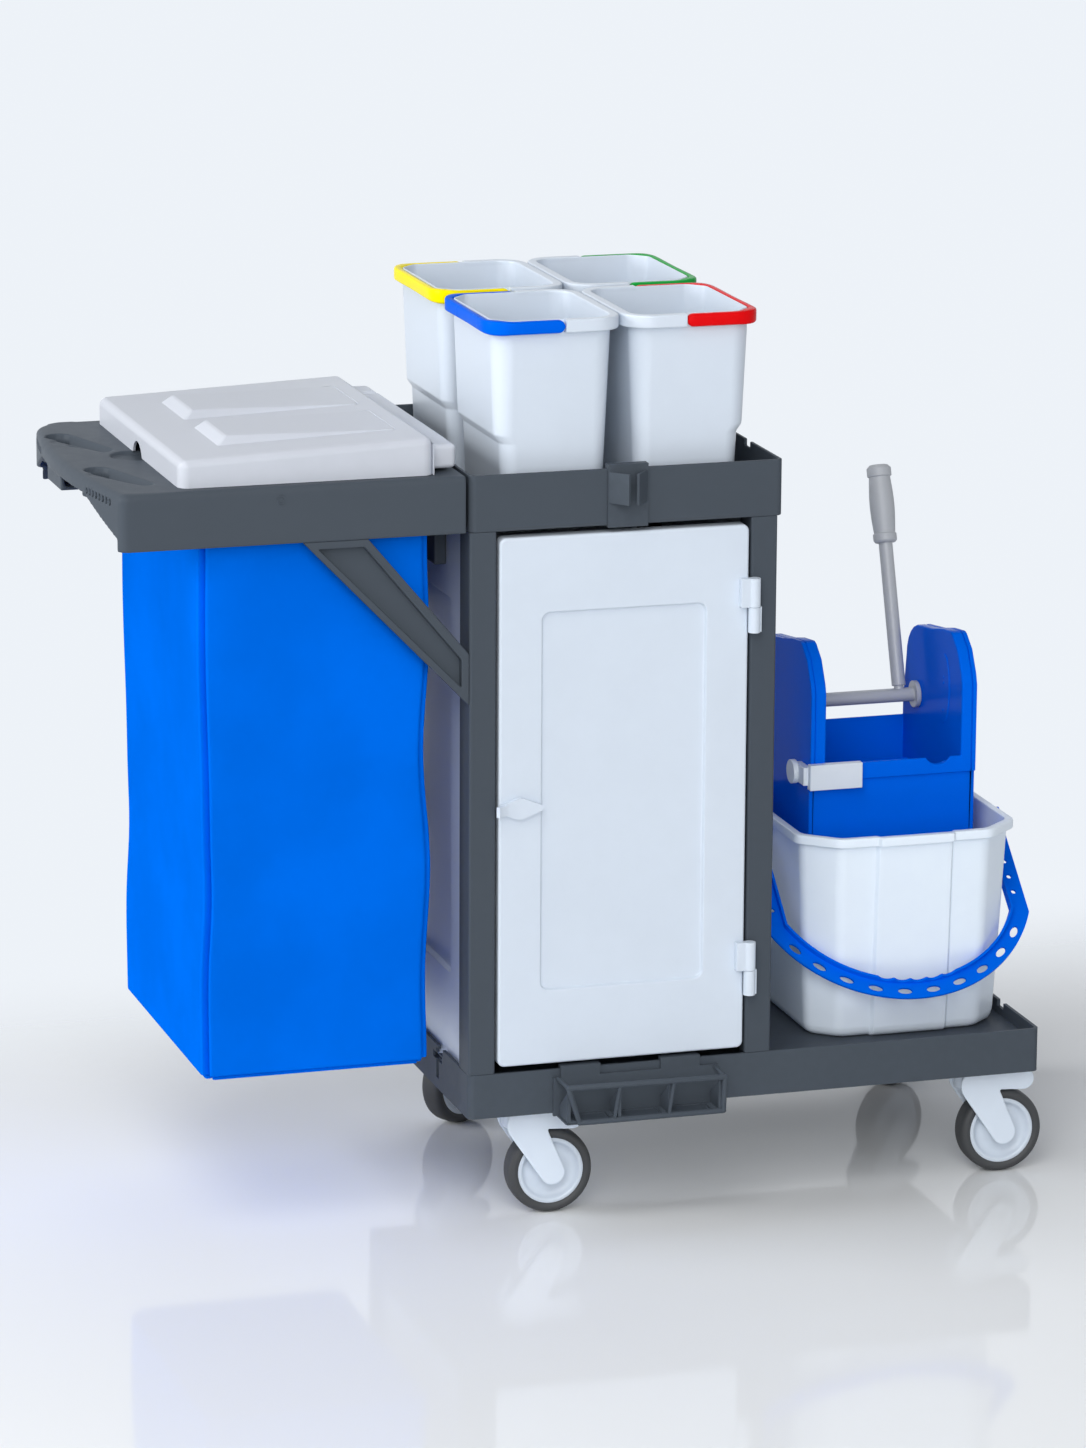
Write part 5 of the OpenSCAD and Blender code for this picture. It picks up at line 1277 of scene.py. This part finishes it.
class CART_OT_stage(bpy.types.Operator):
    """Sets the floor, the light and the camera"""

    bl_idname = "cart.stage"
    bl_label = "Stage"

    def execute(self, context):
        scene = context.scene
        scene.view_settings.view_transform = "Standard"
        nothing()
        bpy.ops.mesh.primitive_circle_add(vertices=96, radius=3.2, fill_type="NGON")
        floor = context.object
        floor.name = "studio_floor"
        floor.data.materials.append(self.paper())
        scene.world = self.air()
        self.softbox("front_left", 20, 25, 97)
        self.softbox("side_left", 95, 20, 215)
        self.softbox("front_low", 0, 12, 62)
        self.softbox("high_left", 35, 50, 95)
        self.softbox("back_high", 200, 50, 30)
        scene.camera = self.photo_camera(scene)
        return {"FINISHED"}

    def photo_camera(self, scene):
        """The camera that was solved from the photo."""
        turn, rise, roll = (math.radians(v) for v in (-17.05, 13.80, 0.313))
        back = Vector((math.sin(turn) * math.cos(rise), -math.cos(turn) * math.cos(rise), math.sin(rise)))
        right = Vector((math.cos(turn), math.sin(turn), 0))
        up = back.cross(right)
        level, plumb = right, up
        right = math.cos(roll) * level + math.sin(roll) * plumb
        up = math.cos(roll) * plumb - math.sin(roll) * level
        data = bpy.data.cameras.new("photo_camera")
        camera = bpy.data.objects.new("photo_camera", data)
        scene.collection.objects.link(camera)
        place = Matrix((right, up, back)).transposed().to_4x4()
        place.translation = at(87.875, 0, 604.798) + back * 6.99395
        camera.matrix_world = place
        data.sensor_width = 36
        data.lens = 6099.52 / 1448 * 36
        return camera

    def paper(self):
        """Pale glossy floor that thins out into the white behind the cart."""
        pale = (0.87, 0.89, 0.9, 1)
        finish, tree, shader, where = new_finish("studio_paper", pale)
        shader.inputs["Base Color"].default_value = pale
        shader.inputs["Roughness"].default_value = 0.7
        shader.inputs["Specular IOR Level"].default_value = 0.0
        shader.inputs["Coat Weight"].default_value = 0.6
        shader.inputs["Coat Roughness"].default_value = 0.06
        reach = tree.nodes.new("ShaderNodeVectorMath")
        reach.operation = "LENGTH"
        tree.links.new(where, reach.inputs[0])
        parts = tree.nodes.new("ShaderNodeSeparateXYZ")
        tree.links.new(where, parts.inputs[0])
        near = range_node(tree, reach.outputs["Value"], 1.4, 3.0, 1.0, 0.0)
        front = range_node(tree, parts.outputs["Y"], 0.35, 1.0, 1.0, 0.0)
        tree.links.new(math_node(tree, "MULTIPLY", near, front), shader.inputs["Alpha"])
        return finish

    def air(self):
        """Even soft light, and plain white where the background itself or its reflection shows."""
        world = bpy.data.worlds.new("studio_air")
        world.use_nodes = True
        tree = world.node_tree
        light = tree.nodes["Background"]
        parts = tree.nodes.new("ShaderNodeSeparateXYZ")
        tree.links.new(tree.nodes.new("ShaderNodeTexCoord").outputs["Generated"], parts.inputs[0])
        height = range_node(tree, parts.outputs["Z"], 0.05, 0.9)
        tree.links.new(mixed(tree, height, (0.29, 0.3, 0.32), (0.1, 0.1, 0.11)), light.inputs["Color"])
        white = tree.nodes.new("ShaderNodeBackground")
        white.inputs["Color"].default_value = (0.85, 0.89, 0.94, 1)
        path = tree.nodes.new("ShaderNodeLightPath")
        both = tree.nodes.new("ShaderNodeMixShader")
        seen = math_node(tree, "MAXIMUM", path.outputs["Is Camera Ray"], path.outputs["Is Glossy Ray"])
        seen = math_node(tree, "MAXIMUM", seen, path.outputs["Is Transmission Ray"])
        tree.links.new(seen, both.inputs[0])
        tree.links.new(light.outputs[0], both.inputs[1])
        tree.links.new(white.outputs[0], both.inputs[2])
        tree.links.new(both.outputs[0], tree.nodes["World Output"].inputs["Surface"])
        return world

    def softbox(self, name, turn, rise, power):
        """A square lamp, turned left from the front and raised, that faces the cart's middle."""
        a, e = math.radians(turn), math.radians(rise)
        middle = Vector((0, 0, 0.55))
        away = Vector((-math.sin(a) * math.cos(e), -math.cos(a) * math.cos(e), math.sin(e)))
        data = bpy.data.lights.new(name, "AREA")
        data.size = 2.8
        data.energy = power
        lamp = bpy.data.objects.new(name, data)
        bpy.context.scene.collection.objects.link(lamp)
        lamp.location = middle + away * 5.6
        lamp.rotation_euler = (-away).to_track_quat("-Z", "Y").to_euler()


class CART_PT_sidebar(bpy.types.Panel):
    """Lists the cart's colours, sizes and making steps"""

    bl_label = "Janitor Cart"
    bl_idname = "CART_PT_sidebar"
    bl_space_type = "VIEW_3D"
    bl_region_type = "UI"
    bl_category = "Cart"

    def draw(self, context):
        for settings in (context.scene.cart_colours, context.scene.cart_sizes):
            for name in settings.__annotations__:
                self.layout.prop(settings, name)
        for step in STEPS:
            self.layout.operator(step.bl_idname)


STEPS = (
    CART_OT_finishes, CART_OT_stage, CART_OT_frame, CART_OT_door, CART_OT_handle_frame, CART_OT_lid,
    CART_OT_bag, CART_OT_bins, CART_OT_bucket, CART_OT_wringer, CART_OT_casters,
)
CLASSES = (CartColours, CartSizes, *STEPS, CART_PT_sidebar)


def register():
    """Adds the classes and the scene's settings."""
    for part in CLASSES:
        bpy.utils.register_class(part)
    bpy.types.Scene.cart_colours = PointerProperty(type=CartColours)
    bpy.types.Scene.cart_sizes = PointerProperty(type=CartSizes)


def unregister():
    """Takes the settings and the classes away."""
    del bpy.types.Scene.cart_sizes
    del bpy.types.Scene.cart_colours
    for part in reversed(CLASSES):
        bpy.utils.unregister_class(part)


def main():
    """Builds the cart."""
    register()
    bpy.ops.cart.finishes()
    bpy.ops.cart.stage()
    bpy.ops.cart.frame()
    bpy.ops.cart.door()
    bpy.ops.cart.handle_frame()
    bpy.ops.cart.lid()
    bpy.ops.cart.bag()
    bpy.ops.cart.bins()
    bpy.ops.cart.bucket()
    bpy.ops.cart.wringer()
    bpy.ops.cart.casters()
    nothing()


if __name__ == "__main__":
    main()
